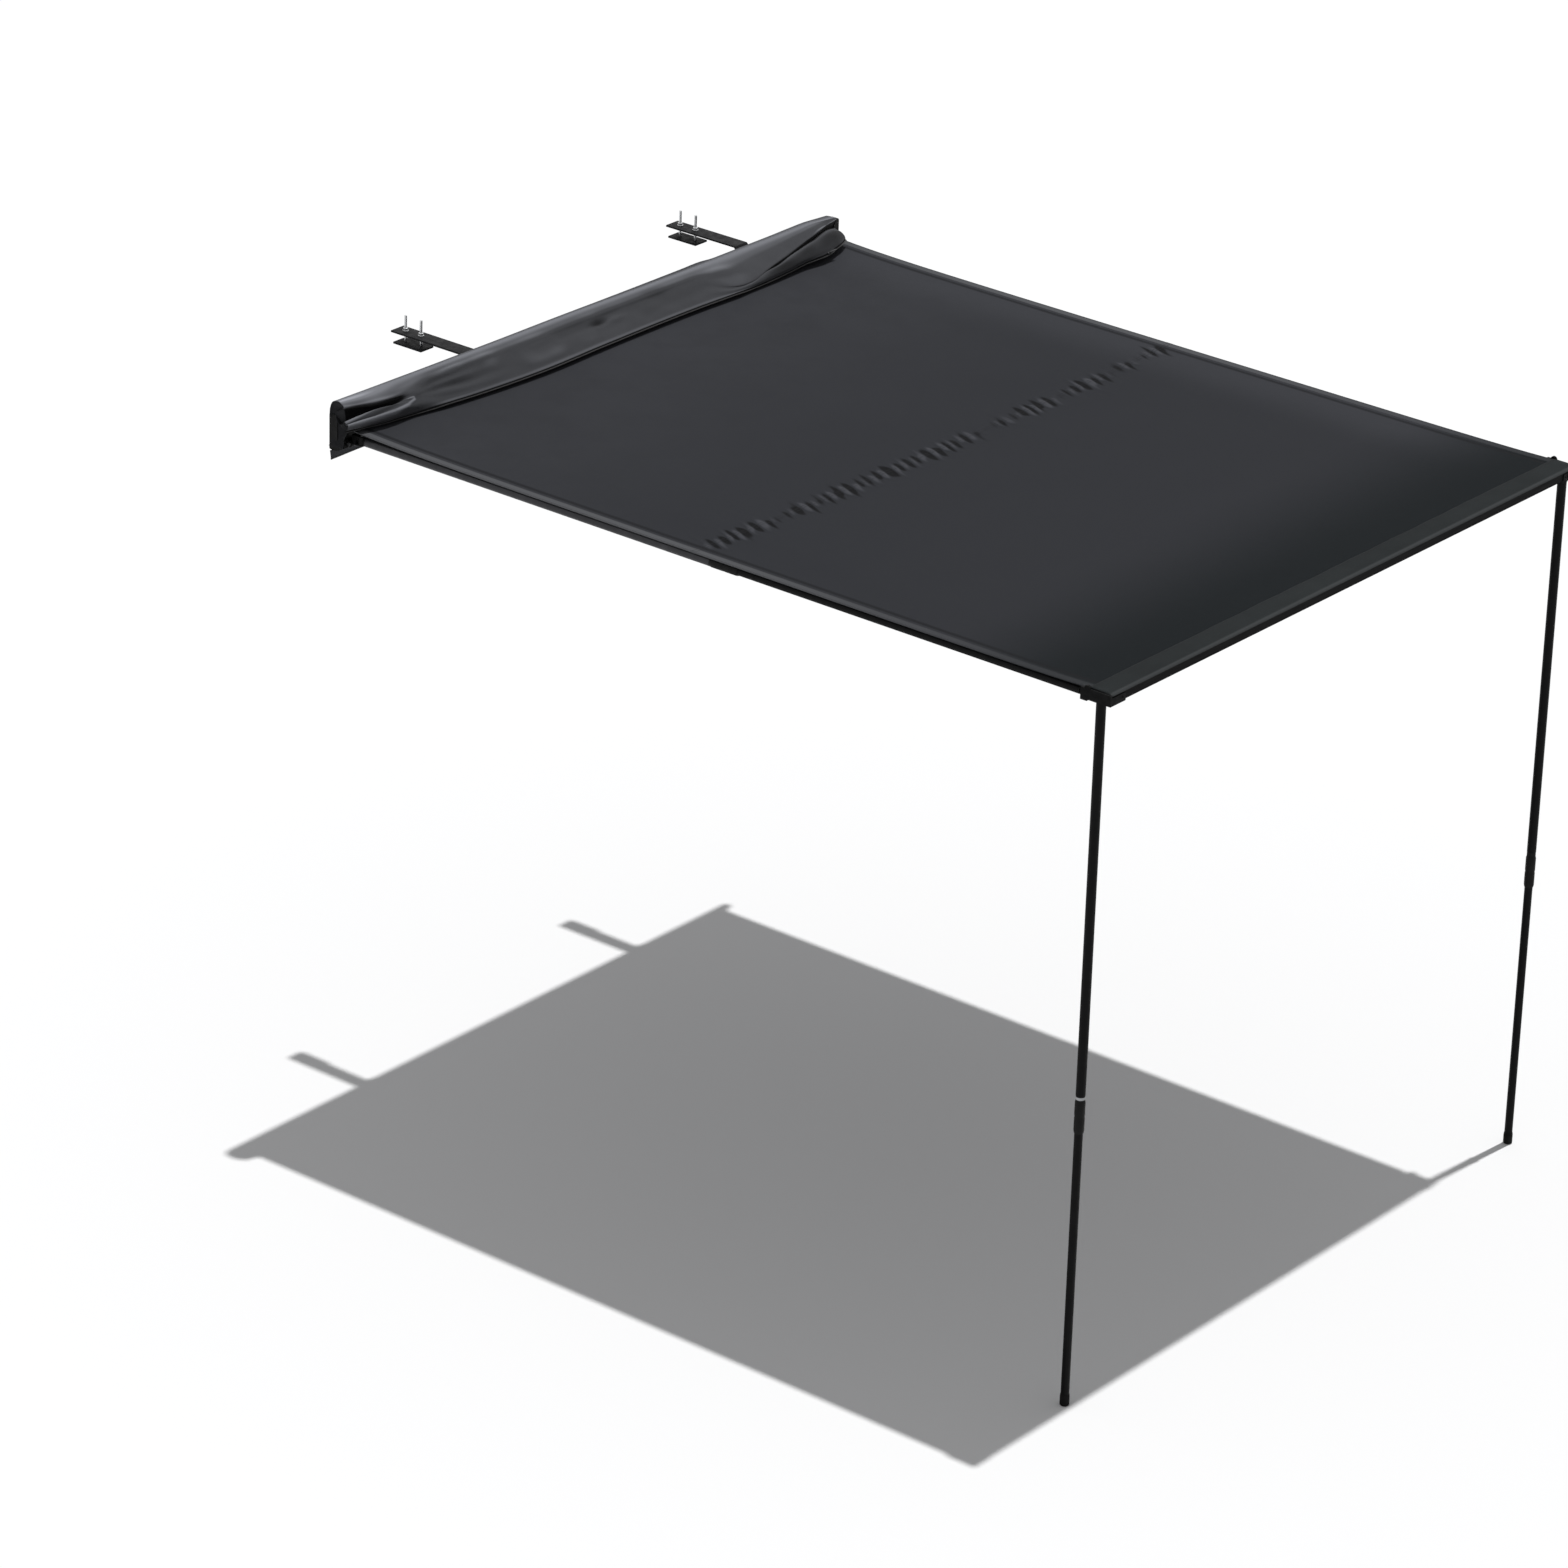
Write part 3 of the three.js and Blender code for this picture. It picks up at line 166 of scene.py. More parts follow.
class Finish:
    """A material made of nodes, read in the model's own coordinates."""

    def __init__(self, name, colour, roughness, metallic=0.0, specular=0.5, sheen=0.0):
        self.material = bpy.data.materials.new(name)
        self.material.use_nodes = True
        self.tree = self.material.node_tree
        self.shader = self.tree.nodes["Principled BSDF"]
        self.set("Base Color", (*colour, 1))
        self.set("Roughness", roughness)
        self.set("Metallic", metallic)
        self.set("Specular IOR Level", specular)
        if sheen:
            self.set("Sheen Weight", sheen)
            self.set("Sheen Roughness", 0.6)
        self.where = self.node("ShaderNodeTexCoord").outputs["Object"]
        self.normal = None

    def set(self, socket, value):
        self.shader.inputs[socket].default_value = value

    def node(self, kind, links=(), **settings):
        made = self.tree.nodes.new(kind)
        for key, value in settings.items():
            setattr(made, key, value)
        for socket, source in links:
            if isinstance(source, (int, float, tuple)):
                made.inputs[socket].default_value = source
            else:
                self.tree.links.new(source, made.inputs[socket])
        return made

    def noise(self, scale, detail=3.0, rough=0.5, stretch=None):
        vector = self.where
        if stretch:
            vector = self.node("ShaderNodeMapping", [("Vector", vector), ("Scale", stretch)]).outputs[0]
        made = self.node("ShaderNodeTexNoise", [
            ("Vector", vector), ("Scale", scale), ("Detail", detail), ("Roughness", rough),
        ])
        return made.outputs["Fac"]

    def wave(self, scale, direction, distortion=0.0, detail=2.0):
        """Even bands across a direction."""
        made = self.node("ShaderNodeTexWave", [
            ("Vector", self.where), ("Scale", scale), ("Distortion", distortion), ("Detail", detail),
        ], bands_direction=direction)
        return made.outputs["Fac"]

    def math(self, operation, a, b=0.0):
        return self.node("ShaderNodeMath", [(0, a), (1, b)], operation=operation).outputs[0]

    def off(self, value, place):
        """How far a value is from a place."""
        return self.math("ABSOLUTE", self.math("SUBTRACT", value, place))

    def ramp(self, value, low, high, start=0.0, end=1.0):
        made = self.node("ShaderNodeMapRange", [
            ("Value", value), ("From Min", low), ("From Max", high), ("To Min", start), ("To Max", end),
        ])
        made.interpolation_type = "SMOOTHSTEP"
        return made.outputs[0]

    def axis(self, name):
        return self.node("ShaderNodeSeparateXYZ", [("Vector", self.where)]).outputs[name]

    def mark(self):
        """What sheet_of wrote on the sheet's points: above 0 on crests, below 0 in creases, for painted
        highlight and painted shade.
        """
        return self.node("ShaderNodeAttribute", attribute_name="mark").outputs["Fac"]

    def tint(self, amount, colour):
        """Mixes a colour over what the base colour is so far, where amount is high."""
        mix = self.node("ShaderNodeMix", data_type="RGBA")
        self.tree.links.new(amount, mix.inputs["Factor"])
        held = self.shader.inputs["Base Color"]
        if held.is_linked:
            self.tree.links.new(held.links[0].from_socket, mix.inputs[6])
        else:
            mix.inputs[6].default_value = held.default_value[:]
        mix.inputs[7].default_value = (*colour, 1)
        self.tree.links.new(mix.outputs[2], held)

    def paint(self, value, low, high, amount, colour):
        """Tints by nothing where value is low, and by amount where it is high."""
        self.tint(self.ramp(value, low, high, 0, amount), colour)

    def bump(self, height, strength, distance):
        links = [("Height", height), ("Strength", strength), ("Distance", distance)]
        if self.normal is not None:
            links.append(("Normal", self.normal))
        self.normal = self.node("ShaderNodeBump", links).outputs[0]
        self.tree.links.new(self.normal, self.shader.inputs["Normal"])

    def gloss(self, value, low, high):
        self.tree.links.new(self.ramp(value, 0.3, 0.7, low, high), self.shader.inputs["Roughness"])


def shade(colour, factor):
    return tuple(c * factor for c in colour)


WAVE = 2 * math.pi / 20         # a wave texture's scale for bands one metre apart
PATCHES = 0.25                  # how strong the cloth's soft patches are
STITCH, STITCH_SEEN = 0.0045, 0.72      # a stitch with its gap, and the share of it that shows
THREAD, THREAD_HALF = (0.02, 0.02, 0.022), 0.0009


def cloth(name, colour, thread=0.0007, sheen=0.02, roughness=0.86):
    """Coated plain weave: threads both ways, soft patches of shade and faint creases."""
    made = Finish(name, colour, roughness, specular=0.05, sheen=sheen)
    made.paint(made.noise(2.2, 3), 0.35, 0.65, PATCHES, shade(colour, 1.5))
    made.paint(made.noise(9.0, 4), 0.4, 0.7, PATCHES, shade(colour, 0.65))
    warp, weft = (made.wave(WAVE / thread, direction, 0.3, detail=0.0) for direction in ("X", "Y"))
    weave = made.math("MULTIPLY", warp, weft)
    made.bump(made.noise(38, 5, 0.55), 0.35, 0.0012)
    made.bump(weave, 0.35, 0.00012)
    made.tint(made.ramp(weave, 0.0, 0.15, 0.3, 0.0), shade(colour, 0.5))
    return made


def stitched(made, value, at, along="X"):
    """A row of lock stitches where value is close to at."""
    near = made.math("LESS_THAN", made.off(value, at), THREAD_HALF)
    step = made.math("FRACT", made.math("DIVIDE", made.axis(along), STITCH))
    dash = made.math("MULTIPLY", near, made.math("LESS_THAN", step, STITCH_SEEN))
    made.tint(dash, THREAD)
    made.bump(dash, 0.6, 0.0004)


def coated(name, colour, roughness, metallic, grain=1400, streak=False):
    """Powder coat or anodising: fine grain, uneven gloss and paler worn places."""
    made = Finish(name, colour, roughness, metallic=metallic, specular=0.08)
    made.paint(made.noise(14, 5, 0.6), 0.5, 0.8, 0.5, shade(colour, 1.9))
    made.paint(made.noise(3, 2), 0.35, 0.7, 0.35, shade(colour, 0.7))
    shine = made.noise(500, 4, 0.6, stretch=(0.02, 1, 1)) if streak else made.noise(60, 4, 0.6)
    made.gloss(shine, roughness * 0.82, min(1, roughness * 1.2))
    made.bump(made.noise(grain, 2), 0.18 if metallic < 0.5 else 0.08, 0.0002)
    return made


def moulded(name, colour, roughness=0.55):
    """Moulded plastic or rubber: leather-like spark grain and a slight mottle."""
    made = Finish(name, colour, roughness, specular=0.10)
    made.paint(made.noise(25, 4), 0.4, 0.75, 0.5, shade(colour, 1.6))
    cells = made.node("ShaderNodeTexVoronoi", [("Vector", made.where), ("Scale", 900.0)]).outputs["Distance"]
    made.bump(cells, 0.25, 0.0002)
    made.gloss(made.noise(45, 3), roughness * 0.85, min(1, roughness * 1.15))
    return made


CANOPY = (0.0355, 0.0367, 0.0418)
COVER = (0.056, 0.0575, 0.063)

canopy_finish = cloth("canopy_cloth", CANOPY)
cover_finish = cloth("cover_cloth", COVER, thread=0.0009, sheen=0.05, roughness=0.8)
band_finish = cloth("canopy_band_cloth", (0.0205, 0.0235, 0.0245))
# the end panels' cloth is the cover's cloth made darker, as painted shade
end_shade_finish = cloth("cover_end_shaded_cloth", (0.020, 0.0205, 0.0225), thread=0.0009, roughness=0.85)
tape_finish = cloth("zip_tape", (0.007, 0.007, 0.0075), thread=0.0011)

RIBS = 210.0                    # a wave texture's scale for the ribs across webbing
webbing = Finish("webbing", (0.014, 0.014, 0.015), 0.8, specular=0.3, sheen=0.2)
webbing.paint(webbing.noise(30, 3), 0.4, 0.7, 0.5, (0.024, 0.024, 0.026))
webbing.bump(webbing.wave(RIBS, "Z", 0.4), 0.5, 0.0003)

rail_finish = coated("rail_black", (0.0085, 0.0088, 0.0095), 0.5, 0.1, streak=True)
beam_finish = coated("beam_black", (0.0028, 0.0029, 0.0032), 0.5, 0.1, streak=True)
beam_finish.set("Specular IOR Level", 0.03)
cast_finish = coated("cast_black", (0.0034, 0.0034, 0.0037), 0.6, 0.1, grain=900)
bracket_finish = coated("bracket_black", (0.010, 0.010, 0.011), 0.55, 0.1, grain=700)
tube_finish = coated("tube_black", (0.0042, 0.0042, 0.0045), 0.5, 0.1)
arm_finish = coated("arm_black", (0.045, 0.045, 0.048), 0.42, 0.85)
plastic_finish = moulded("moulded_black", (0.006, 0.006, 0.006))
rubber_finish = moulded("foot_rubber", (0.006, 0.006, 0.006), 0.8)
ring_finish = moulded("light_plastic", (0.36, 0.37, 0.38), 0.5)

RING_Z = -1.1                   # the near leg's ring is light in a thin line round its middle
from_middle = ring_finish.off(ring_finish.axis("Z"), RING_Z)
ring_finish.paint(from_middle, 0.0032, 0.0040, 1, (0.02, 0.02, 0.021))

steel_finish = Finish("steel", (0.62, 0.63, 0.64), 0.28, metallic=1.0)
steel_finish.paint(steel_finish.noise(90, 4), 0.45, 0.75, 0.5, (0.42, 0.42, 0.41))
steel_finish.gloss(steel_finish.noise(400, 3, 0.6, (1, 1, 0.15)), 0.2, 0.42)
steel_finish.bump(steel_finish.noise(800, 2), 0.1, 0.0001)

TOOTH = 0.0016                  # from one tooth of the zip to the next
teeth_finish = Finish("zip_teeth", (0.008, 0.008, 0.0085), 0.5, specular=0.3)
tooth = teeth_finish.wave(WAVE / TOOTH, "X")
teeth_finish.bump(tooth, 0.9, 0.0005)
teeth_finish.tint(teeth_finish.ramp(tooth, 0.0, 0.4, 0.7, 0), (0.003, 0.003, 0.003))

pin_finish = Finish("dark_steel", (0.035, 0.035, 0.037), 0.45, metallic=0.8)
pin_finish.paint(pin_finish.noise(120, 4), 0.45, 0.75, 0.6, (0.07, 0.07, 0.07))
pin_finish.gloss(pin_finish.noise(300, 3, 0.6), 0.35, 0.55)
pin_finish.bump(pin_finish.noise(900, 2), 0.1, 0.0001)

FLOOR_GLOW = 0.038              # keeps the shadow as pale as the photograph's
floor_finish = Finish("floor", (0.93, 0.93, 0.93), 0.95, specular=0.0)
floor_finish.set("Emission Color", (1, 1, 1, 1))
glow = floor_finish.math("MULTIPLY", seen_rays(floor_finish.tree), FLOOR_GLOW)
floor_finish.tree.links.new(glow, floor_finish.shader.inputs["Emission Strength"])
floor_mesh.materials.append(floor_finish.material)

# The model's own pieces

FINISH_OF_SLOT = {
    "rail_black": rail_finish, "cast_black": cast_finish, "bracket_black": bracket_finish,
    "tube_black": tube_finish, "moulded_black": plastic_finish, "steel": steel_finish,
    "light_plastic": ring_finish, "canopy_cloth": canopy_finish, "cover_cloth": cover_finish,
    "webbing": webbing, "foot_rubber": rubber_finish,
}
FINISH_OF_NODE = {"zip_slider": pin_finish, "front_beam": beam_finish, "leg_ring_far": plastic_finish}
SOFTENED = 0.0004               # small radius on edges
WELDED = 0.00001                # points closer than this become one
SHARP = math.radians(28)        # edges that turn more than this are rounded


def finish_for(node, slot):
    if "_pin" in node:
        return pin_finish
    if node.startswith("arm_tube"):
        return arm_finish
    return FINISH_OF_NODE.get(node, FINISH_OF_SLOT[slot])


for part in frame["record"]["subparts"]:
    thing = nodes[part["node"]]
    thing.data.materials.clear()
    thing.data.materials.append(finish_for(part["node"], part["material_slot"]).material)
    for polygon in thing.data.polygons:
        polygon.material_index = 0
        polygon.use_smooth = True
    if thing.data.has_custom_normals:
        bpy.context.view_layer.objects.active = thing
        with bpy.context.temp_override(object=thing, active_object=thing, selected_objects=[thing]):
            bpy.ops.mesh.customdata_custom_splitnormals_clear()
    for edge in thing.data.edges:
        edge.use_edge_sharp = False
    weld = thing.modifiers.new("weld", "WELD")
    weld.merge_threshold = WELDED
    rounding = thing.modifiers.new("edges", "BEVEL")
    rounding.width = SOFTENED
    rounding.segments = 2
    rounding.limit_method = "ANGLE"
    rounding.angle_limit = SHARP
    rounding.harden_normals = True

# Building in mesh code


def new_object(name, points, faces, finish):
    mesh = bpy.data.meshes.new(name)
    mesh.from_pydata([tuple(map(float, p)) for p in points], [], faces)
    mesh.materials.append(finish.material)
    for polygon in mesh.polygons:
        polygon.use_smooth = True
    mesh.update()
    made = bpy.data.objects.new(name, mesh)
    scene.collection.objects.link(made)
    return made


def grid_normals(grid):
    along = np.gradient(grid, axis=0)
    across = np.gradient(grid, axis=1)
    normals = np.cross(along, across)
    return normals / np.maximum(np.linalg.norm(normals, axis=2, keepdims=True), 1e-12)


def sheet_of(name, grid, thickness, finish, flip=False, marks=None):
    """A closed thin sheet round a grid of points: its two faces and its rim."""
    normals = grid_normals(grid) * (-1 if flip else 1)
    half = np.asarray(thickness)[..., None] / 2 if np.ndim(thickness) else thickness / 2
    rows, columns = grid.shape[:2]
    count = rows * columns
    points = np.concatenate([(grid + normals * half).reshape(-1, 3), (grid - normals * half).reshape(-1, 3)])
    index = np.arange(count).reshape(rows, columns)
    a, b, c, d = index[:-1, :-1], index[1:, :-1], index[1:, 1:], index[:-1, 1:]
    top = np.stack([a, b, c, d], -1).reshape(-1, 4)
    low = np.stack([d, c, b, a], -1).reshape(-1, 4) + count
    if flip:
        top, low = top[:, ::-1], low[:, ::-1]
    faces = [tuple(map(int, f)) for f in np.concatenate([top, low])]
    rim = np.concatenate([index[:, 0], index[-1, 1:], index[-2::-1, -1], index[0, -2:0:-1]])
    for p, q in zip(rim, np.roll(rim, -1)):
        side = (p, p + count, q + count, q)
        faces.append(tuple(map(int, side[::-1] if flip else side)))
    made = new_object(name, points, faces, finish)
    if marks is not None:
        written = made.data.attributes.new("mark", "FLOAT", "POINT")
        written.data.foreach_set("value", np.tile(marks.ravel(), 2).astype(np.float32))
    made.data.validate()
    return made


def ease(value, low, high):
    t = np.clip((np.asarray(value, float) - low) / (high - low), 0, 1)
    return t * t * (3 - 2 * t)


def bell(value, middle, width):
    """1 at the middle, and softly down to 0 on both sides."""
    return np.exp(-(((value - middle) / width) ** 2))


def through(values, places, shares):
    """A smooth value read between chosen places."""
    shares, places = np.asarray(shares, float), np.asarray(places, float)
    slopes = np.gradient(shares, places)
    i = np.clip(np.searchsorted(places, values) - 1, 0, len(places) - 2)
    width = places[i + 1] - places[i]
    t = np.clip((values - places[i]) / width, 0, 1)
    return (
        shares[i] * (2 * t**3 - 3 * t**2 + 1) + slopes[i] * width * (t**3 - 2 * t**2 + t)
        + shares[i + 1] * (3 * t**2 - 2 * t**3) + slopes[i + 1] * width * (t**3 - t**2)
    )


def reach_along(line):
    """How far along a line each of its points lies."""
    return np.r_[0, np.cumsum(np.linalg.norm(np.diff(line, axis=0), axis=1))]


def evenly(line, shares):
    """The points at these shares of a line's length."""
    reach = reach_along(line)
    return np.stack([np.interp(shares * reach[-1], reach, column) for column in line.T], -1)


def from_line(x, y, line):
    """How far points lie from a line of straight stretches."""
    gap = np.full(x.shape, np.inf)
    for p, q in zip(line, line[1:]):
        run = q - p
        share = np.clip(((x - p[0]) * run[0] + (y - p[1]) * run[1]) / (run @ run), 0, 1)
        gap = np.minimum(gap, np.hypot(x - p[0] - share * run[0], y - p[1] - share * run[1]))
    return gap


def waves(x, y, seed, count, longest, shortest):
    """Soft uneven relief: many low waves in all directions, about -1 to 1."""
    draw = np.random.default_rng(seed)
    total = np.zeros(np.broadcast(x, y).shape)
    for _ in range(count):
        length = shortest * (longest / shortest) ** draw.random()
        turn, phase = draw.random(2) * 2 * math.pi
        total += np.sin(2 * math.pi * (x * math.cos(turn) + y * math.sin(turn)) / length + phase)
    return total / math.sqrt(count / 2) / 2


def spaced(edges, steps):
    """Places from edge to edge, each stretch cut to its own step."""
    out = [edges[0]]
    for a, b, step in zip(edges, edges[1:], steps):
        n = max(1, round(abs(b - a) / step))
        out += list(a + (b - a) * np.arange(1, n + 1) / n)
    return np.array(out)


# Canopy

HALF_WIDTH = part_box("canopy")[1][0]
beam_low, beam_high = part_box("front_beam")
REAR_Y, REAR_Z = -0.0235, 0.0100        # in the rail's groove
FRONT_Y = beam_high[1] - 0.006          # over the beam's rear edge
FRONT_Z = beam_high[2] + 0.0012         # just over the beam
CLOTH = 0.0011                          # thickness, and what the seam's lap and the side hems add to it
LAP, HEM_EXTRA = 0.0007, 0.0008
HEM = 0.030
HEM_LINE = HALF_WIDTH - HEM
HEM_RISE = 0.0015                       # the thickness changes over this much on both sides of the hem's line
SLACK_Z = -0.0031                       # how low the cloth lies, just clear of the arms
MIDDLE_SLACK = 0.72                     # the share of that drop in the canopy's middle
REAR_EASE, FRONT_EASE = 0.07, 0.05      # how soon it gets there from the rail and the beam, in shares
RIPPLE = 0.0007                         # height of the faint waves in the taut cloth
SEAM_Y = -1.225
SEAM_BOW = 0.026                        # how far the seam's ends are drawn towards the rail
STITCHES = 0.005                        # from the seam's middle to each of its two rows
BAND_Y = beam_low[1] + 0.066            # where the front band begins

side_columns = [HEM_LINE - HEM_RISE, HEM_LINE + HEM_RISE, HALF_WIDTH - 0.002, HALF_WIDTH]
columns = spaced([-x for x in reversed(side_columns)] + side_columns,
                 [0.001, 0.007, 0.0015, 0.0054, 0.0015, 0.007, 0.001])
lines = spaced(
    [REAR_Y, -0.12, SEAM_Y + 0.10, SEAM_Y + 0.013, SEAM_Y - 0.013, SEAM_Y - 0.10, -2.38, FRONT_Y],
    [0.012, 0.024, 0.009, 0.0026, 0.009, 0.024, 0.010],
)


def seam_line(x):
    """Where the cross seam runs: drawn towards the rail near both side hems."""
    return SEAM_Y + SEAM_BOW * np.abs(x / HALF_WIDTH) ** 3


def canopy_height(x, y):
    """The cloth from the groove to the beam: down near the arms, faintly rippled in between."""
    run = np.clip((y - REAR_Y) / (FRONT_Y - REAR_Y), 0, 1)
    straight = REAR_Z + (FRONT_Z - REAR_Z) * run
    slack = (1 - np.exp(-run / REAR_EASE)) * (1 - np.exp(-(1 - run) / FRONT_EASE))
    by_hem = ease(np.abs(x), HALF_WIDTH - 0.20, HALF_WIDTH - 0.05)
    slack = slack * (MIDDLE_SLACK + (1 - MIDDLE_SLACK) * by_hem)
    inner = ease(HALF_WIDTH - np.abs(x), 0.02, 0.12) * ease(REAR_Y - y, 0.02, 0.2)
    inner = inner * ease(y - FRONT_Y, 0.02, 0.15)
    return straight + (SLACK_Z - straight) * slack + RIPPLE * inner * waves(x, y, 3, 22, 0.9, 0.16)


# How strong the gathers are at places across the seam
GATHERS = [
    (-1.00, 0.20), (-0.90, 0.75), (-0.81, 0.95), (-0.73, 0.70), (-0.68, 0.12), (-0.64, 0.50), (-0.58, 0.80),
    (-0.53, 0.35), (-0.47, 0.95), (-0.40, 0.85), (-0.345, 0.45), (-0.28, 1.00), (-0.21, 0.90), (-0.155, 0.55),
    (-0.09, 1.10), (-0.02, 0.85), (0.03, 0.50), (0.07, 0.80), (0.12, 0.25), (0.18, 0.10), (0.225, 0.60),
    (0.265, 0.25), (0.33, 0.95), (0.42, 0.90), (0.47, 0.15), (0.53, 0.60), (0.60, 1.10), (0.67, 0.50),
    (0.72, 0.10), (0.78, 0.70), (0.83, 0.12), (0.89, 0.55), (0.95, 0.75), (1.00, 0.30),
]
PUCKER = 0.040                          # from one fold to the next
CREST, CREASE = 0.0034, 0.0005          # how far a fold stands up, and how deep it lies between


def puckers(x, y):
    """Short pinched folds across the seam, in uneven groups: 1 on a crest, -1 in a crease."""
    off = y - seam_line(x)
    slanted = 2 * np.pi * (x - 0.38 * off)
    phase = slanted / PUCKER + 0.9 * np.sin(slanted / 0.173) + 0.45 * np.sin(slanted / 0.071)
    groups = through(x, *zip(*GATHERS)) * ease(HALF_WIDTH - np.abs(x), HEM * 0.6, HEM * 2)
    reach = 0.027 + 0.015 * np.sin(2 * np.pi * x / 0.137) * np.sin(2 * np.pi * x / 0.052)
    return groups * np.sin(phase) * bell(off, -0.004, reach)


X, Y = np.meshgrid(columns, lines, indexing="ij")
Y = Y + (seam_line(X) - SEAM_Y) * bell(Y, SEAM_Y, 0.25)
pinched = puckers(X, Y)
Z = canopy_height(X, Y) + CREST * np.maximum(pinched, 0) - CREASE * np.maximum(-pinched, 0)
lap = LAP * (1 - ease(np.abs(Y - seam_line(X)), 0.0075, 0.0095))
hem = HEM_EXTRA * ease(np.abs(X), HEM_LINE - HEM_RISE, HEM_LINE + HEM_RISE)
canopy = sheet_of("canopy_sheet", np.stack([X, Y, Z], -1), CLOTH + lap + hem, canopy_finish, marks=pinched)

# painted shade towards the front and painted shadow along the beam, lighter towards the far hem, a light side
# hem fading towards the front with a painted shade line beside it, painted shade and highlight on the seam's
# folds, then the stitches
across, down = canopy_finish.axis("X"), canopy_finish.axis("Y")
sideways = canopy_finish.math("ABSOLUTE", across)
# painted shade, darker from the rail towards the front
canopy_finish.paint(down, -0.1, -1.2, 1, (0.0268, 0.0280, 0.0325))
canopy_finish.paint(across, 0.72, 0.97, 0.6, shade(CANOPY, 1.35))
# painted shadow along the beam, where the cloth falls behind it
canopy_finish.paint(down, -1.95, -2.39, 1, (0.0080, 0.0102, 0.0118))
on_hem = canopy_finish.ramp(sideways, HEM_LINE + 0.003, HEM_LINE + 0.011)
faded = canopy_finish.ramp(down, -1.1, -2.3, 1, 0.3)
canopy_finish.tint(canopy_finish.math("MULTIPLY", on_hem, faded), (0.088, 0.090, 0.096))
# a painted shade line just inside the side hem, where the cloth dips beside the arm
beside_hem = canopy_finish.off(sideways, HEM_LINE - 0.009)
canopy_finish.tint(canopy_finish.ramp(beside_hem, 0.002, 0.011, 0.75, 0), shade(CANOPY, 0.3))
# painted shade in the seam's creases and painted highlight on its crests
canopy_finish.paint(canopy_finish.mark(), -0.03, -0.35, 0.95, shade(CANOPY, 0.12))
canopy_finish.paint(canopy_finish.mark(), 0.08, 0.6, 0.7, shade(CANOPY, 2.0))
stitched(canopy_finish, sideways, HEM_LINE + 0.004, along="Y")
stitched(canopy_finish, sideways, HALF_WIDTH - 0.004, along="Y")
bow = canopy_finish.math("MULTIPLY", canopy_finish.math("POWER", sideways, 3.0), SEAM_BOW)
along_seam = canopy_finish.math("SUBTRACT", down, bow)
stitched(canopy_finish, along_seam, SEAM_Y - STITCHES)
stitched(canopy_finish, along_seam, SEAM_Y + STITCHES)

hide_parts("canopy", "canopy_cord")
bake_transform(canopy)

# the front band, doubled cloth that goes over the beam and into its front groove
WRAP_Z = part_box("canopy_front_wrap")[0][2]
BEAM_FACE = beam_low[1]
BAND_CLOTH = 0.0012
band_path = np.array([
    [BAND_Y, FRONT_Z + 0.0014],
    [BAND_Y - 0.010, FRONT_Z + 0.0014],
    [BAND_Y - 0.030, FRONT_Z + 0.0010],
    [BEAM_FACE + 0.008, FRONT_Z + 0.0008],
    [BEAM_FACE + 0.0015, FRONT_Z + 0.0003],
    [BEAM_FACE - 0.0006, FRONT_Z - 0.0016],
    [BEAM_FACE - 0.0008, WRAP_Z + 0.0016],
    [BEAM_FACE - 0.0002, WRAP_Z + 0.0004],
])
steps = np.linspace(0, 1, 26)
band_y, band_z = evenly(band_path, steps).T
BX, BT = np.meshgrid(spaced([-HALF_WIDTH, HALF_WIDTH], [0.010]), steps, indexing="ij")
BY = band_y + 0.0008 * waves(BX, 0 * BX, 5, 6, 0.5, 0.08) * (1 - ease(BT, 0, 0.3))
BZ = band_z + 0.0005 * (1 + waves(BX, BY, 9, 14, 0.3, 0.05)) * (1 - ease(BT, 0.5, 0.8))
band = sheet_of("canopy_band", np.stack([BX, BY, BZ], -1), BAND_CLOTH, band_finish)

# painted highlight where it turns over the beam's edge, and painted shade down the beam's face
band_along = band_finish.axis("Y")
band_finish.paint(band_along, BEAM_FACE + 0.011, BEAM_FACE + 0.003, 0.8, (0.056, 0.060, 0.062))
band_finish.paint(band_finish.axis("Z"), FRONT_Z - 0.0030, FRONT_Z - 0.0050, 1, (0.003, 0.003, 0.0032))
stitched(band_finish, band_along, BAND_Y - 0.003)
stitched(band_finish, band_along, BAND_Y - 0.009)
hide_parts("canopy_front_wrap")
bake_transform(band)

# Cover

COVER_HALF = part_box("cover_top")[1][0]
RAIL_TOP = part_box("rail")[1][2]
COVER_CLOTH, END_CLOTH = 0.0016, 0.0014
EDGE_Z = 0.021                  # how high the flap's free edge lies
FLAP_ROWS = 72

flap_x = spaced([-COVER_HALF, -0.74, 0.5, COVER_HALF], [0.005, 0.012, 0.005])
ridge_z = through(flap_x, [-1.04, -0.95, -0.80, -0.6, -0.38, -0.13, 0.11, 0.44, 0.72, 0.9, 0.98, 1.036],
                  [0.094, 0.092, 0.090, 0.088, 0.086, 0.085, 0.081, 0.078, 0.078, 0.079, 0.075, 0.071])
ridge_y = through(flap_x, [-1.04, -0.5, 0.5, 0.9, 1.036], [-0.035, -0.036, -0.036, -0.040, -0.044])
edge_y = through(flap_x, [-0.80, -0.74, -0.53, -0.34, -0.135, 0.28, 0.525, 0.66],
                 [-0.108, -0.116, -0.138, -0.147, -0.142, -0.140, -0.149, -0.148])

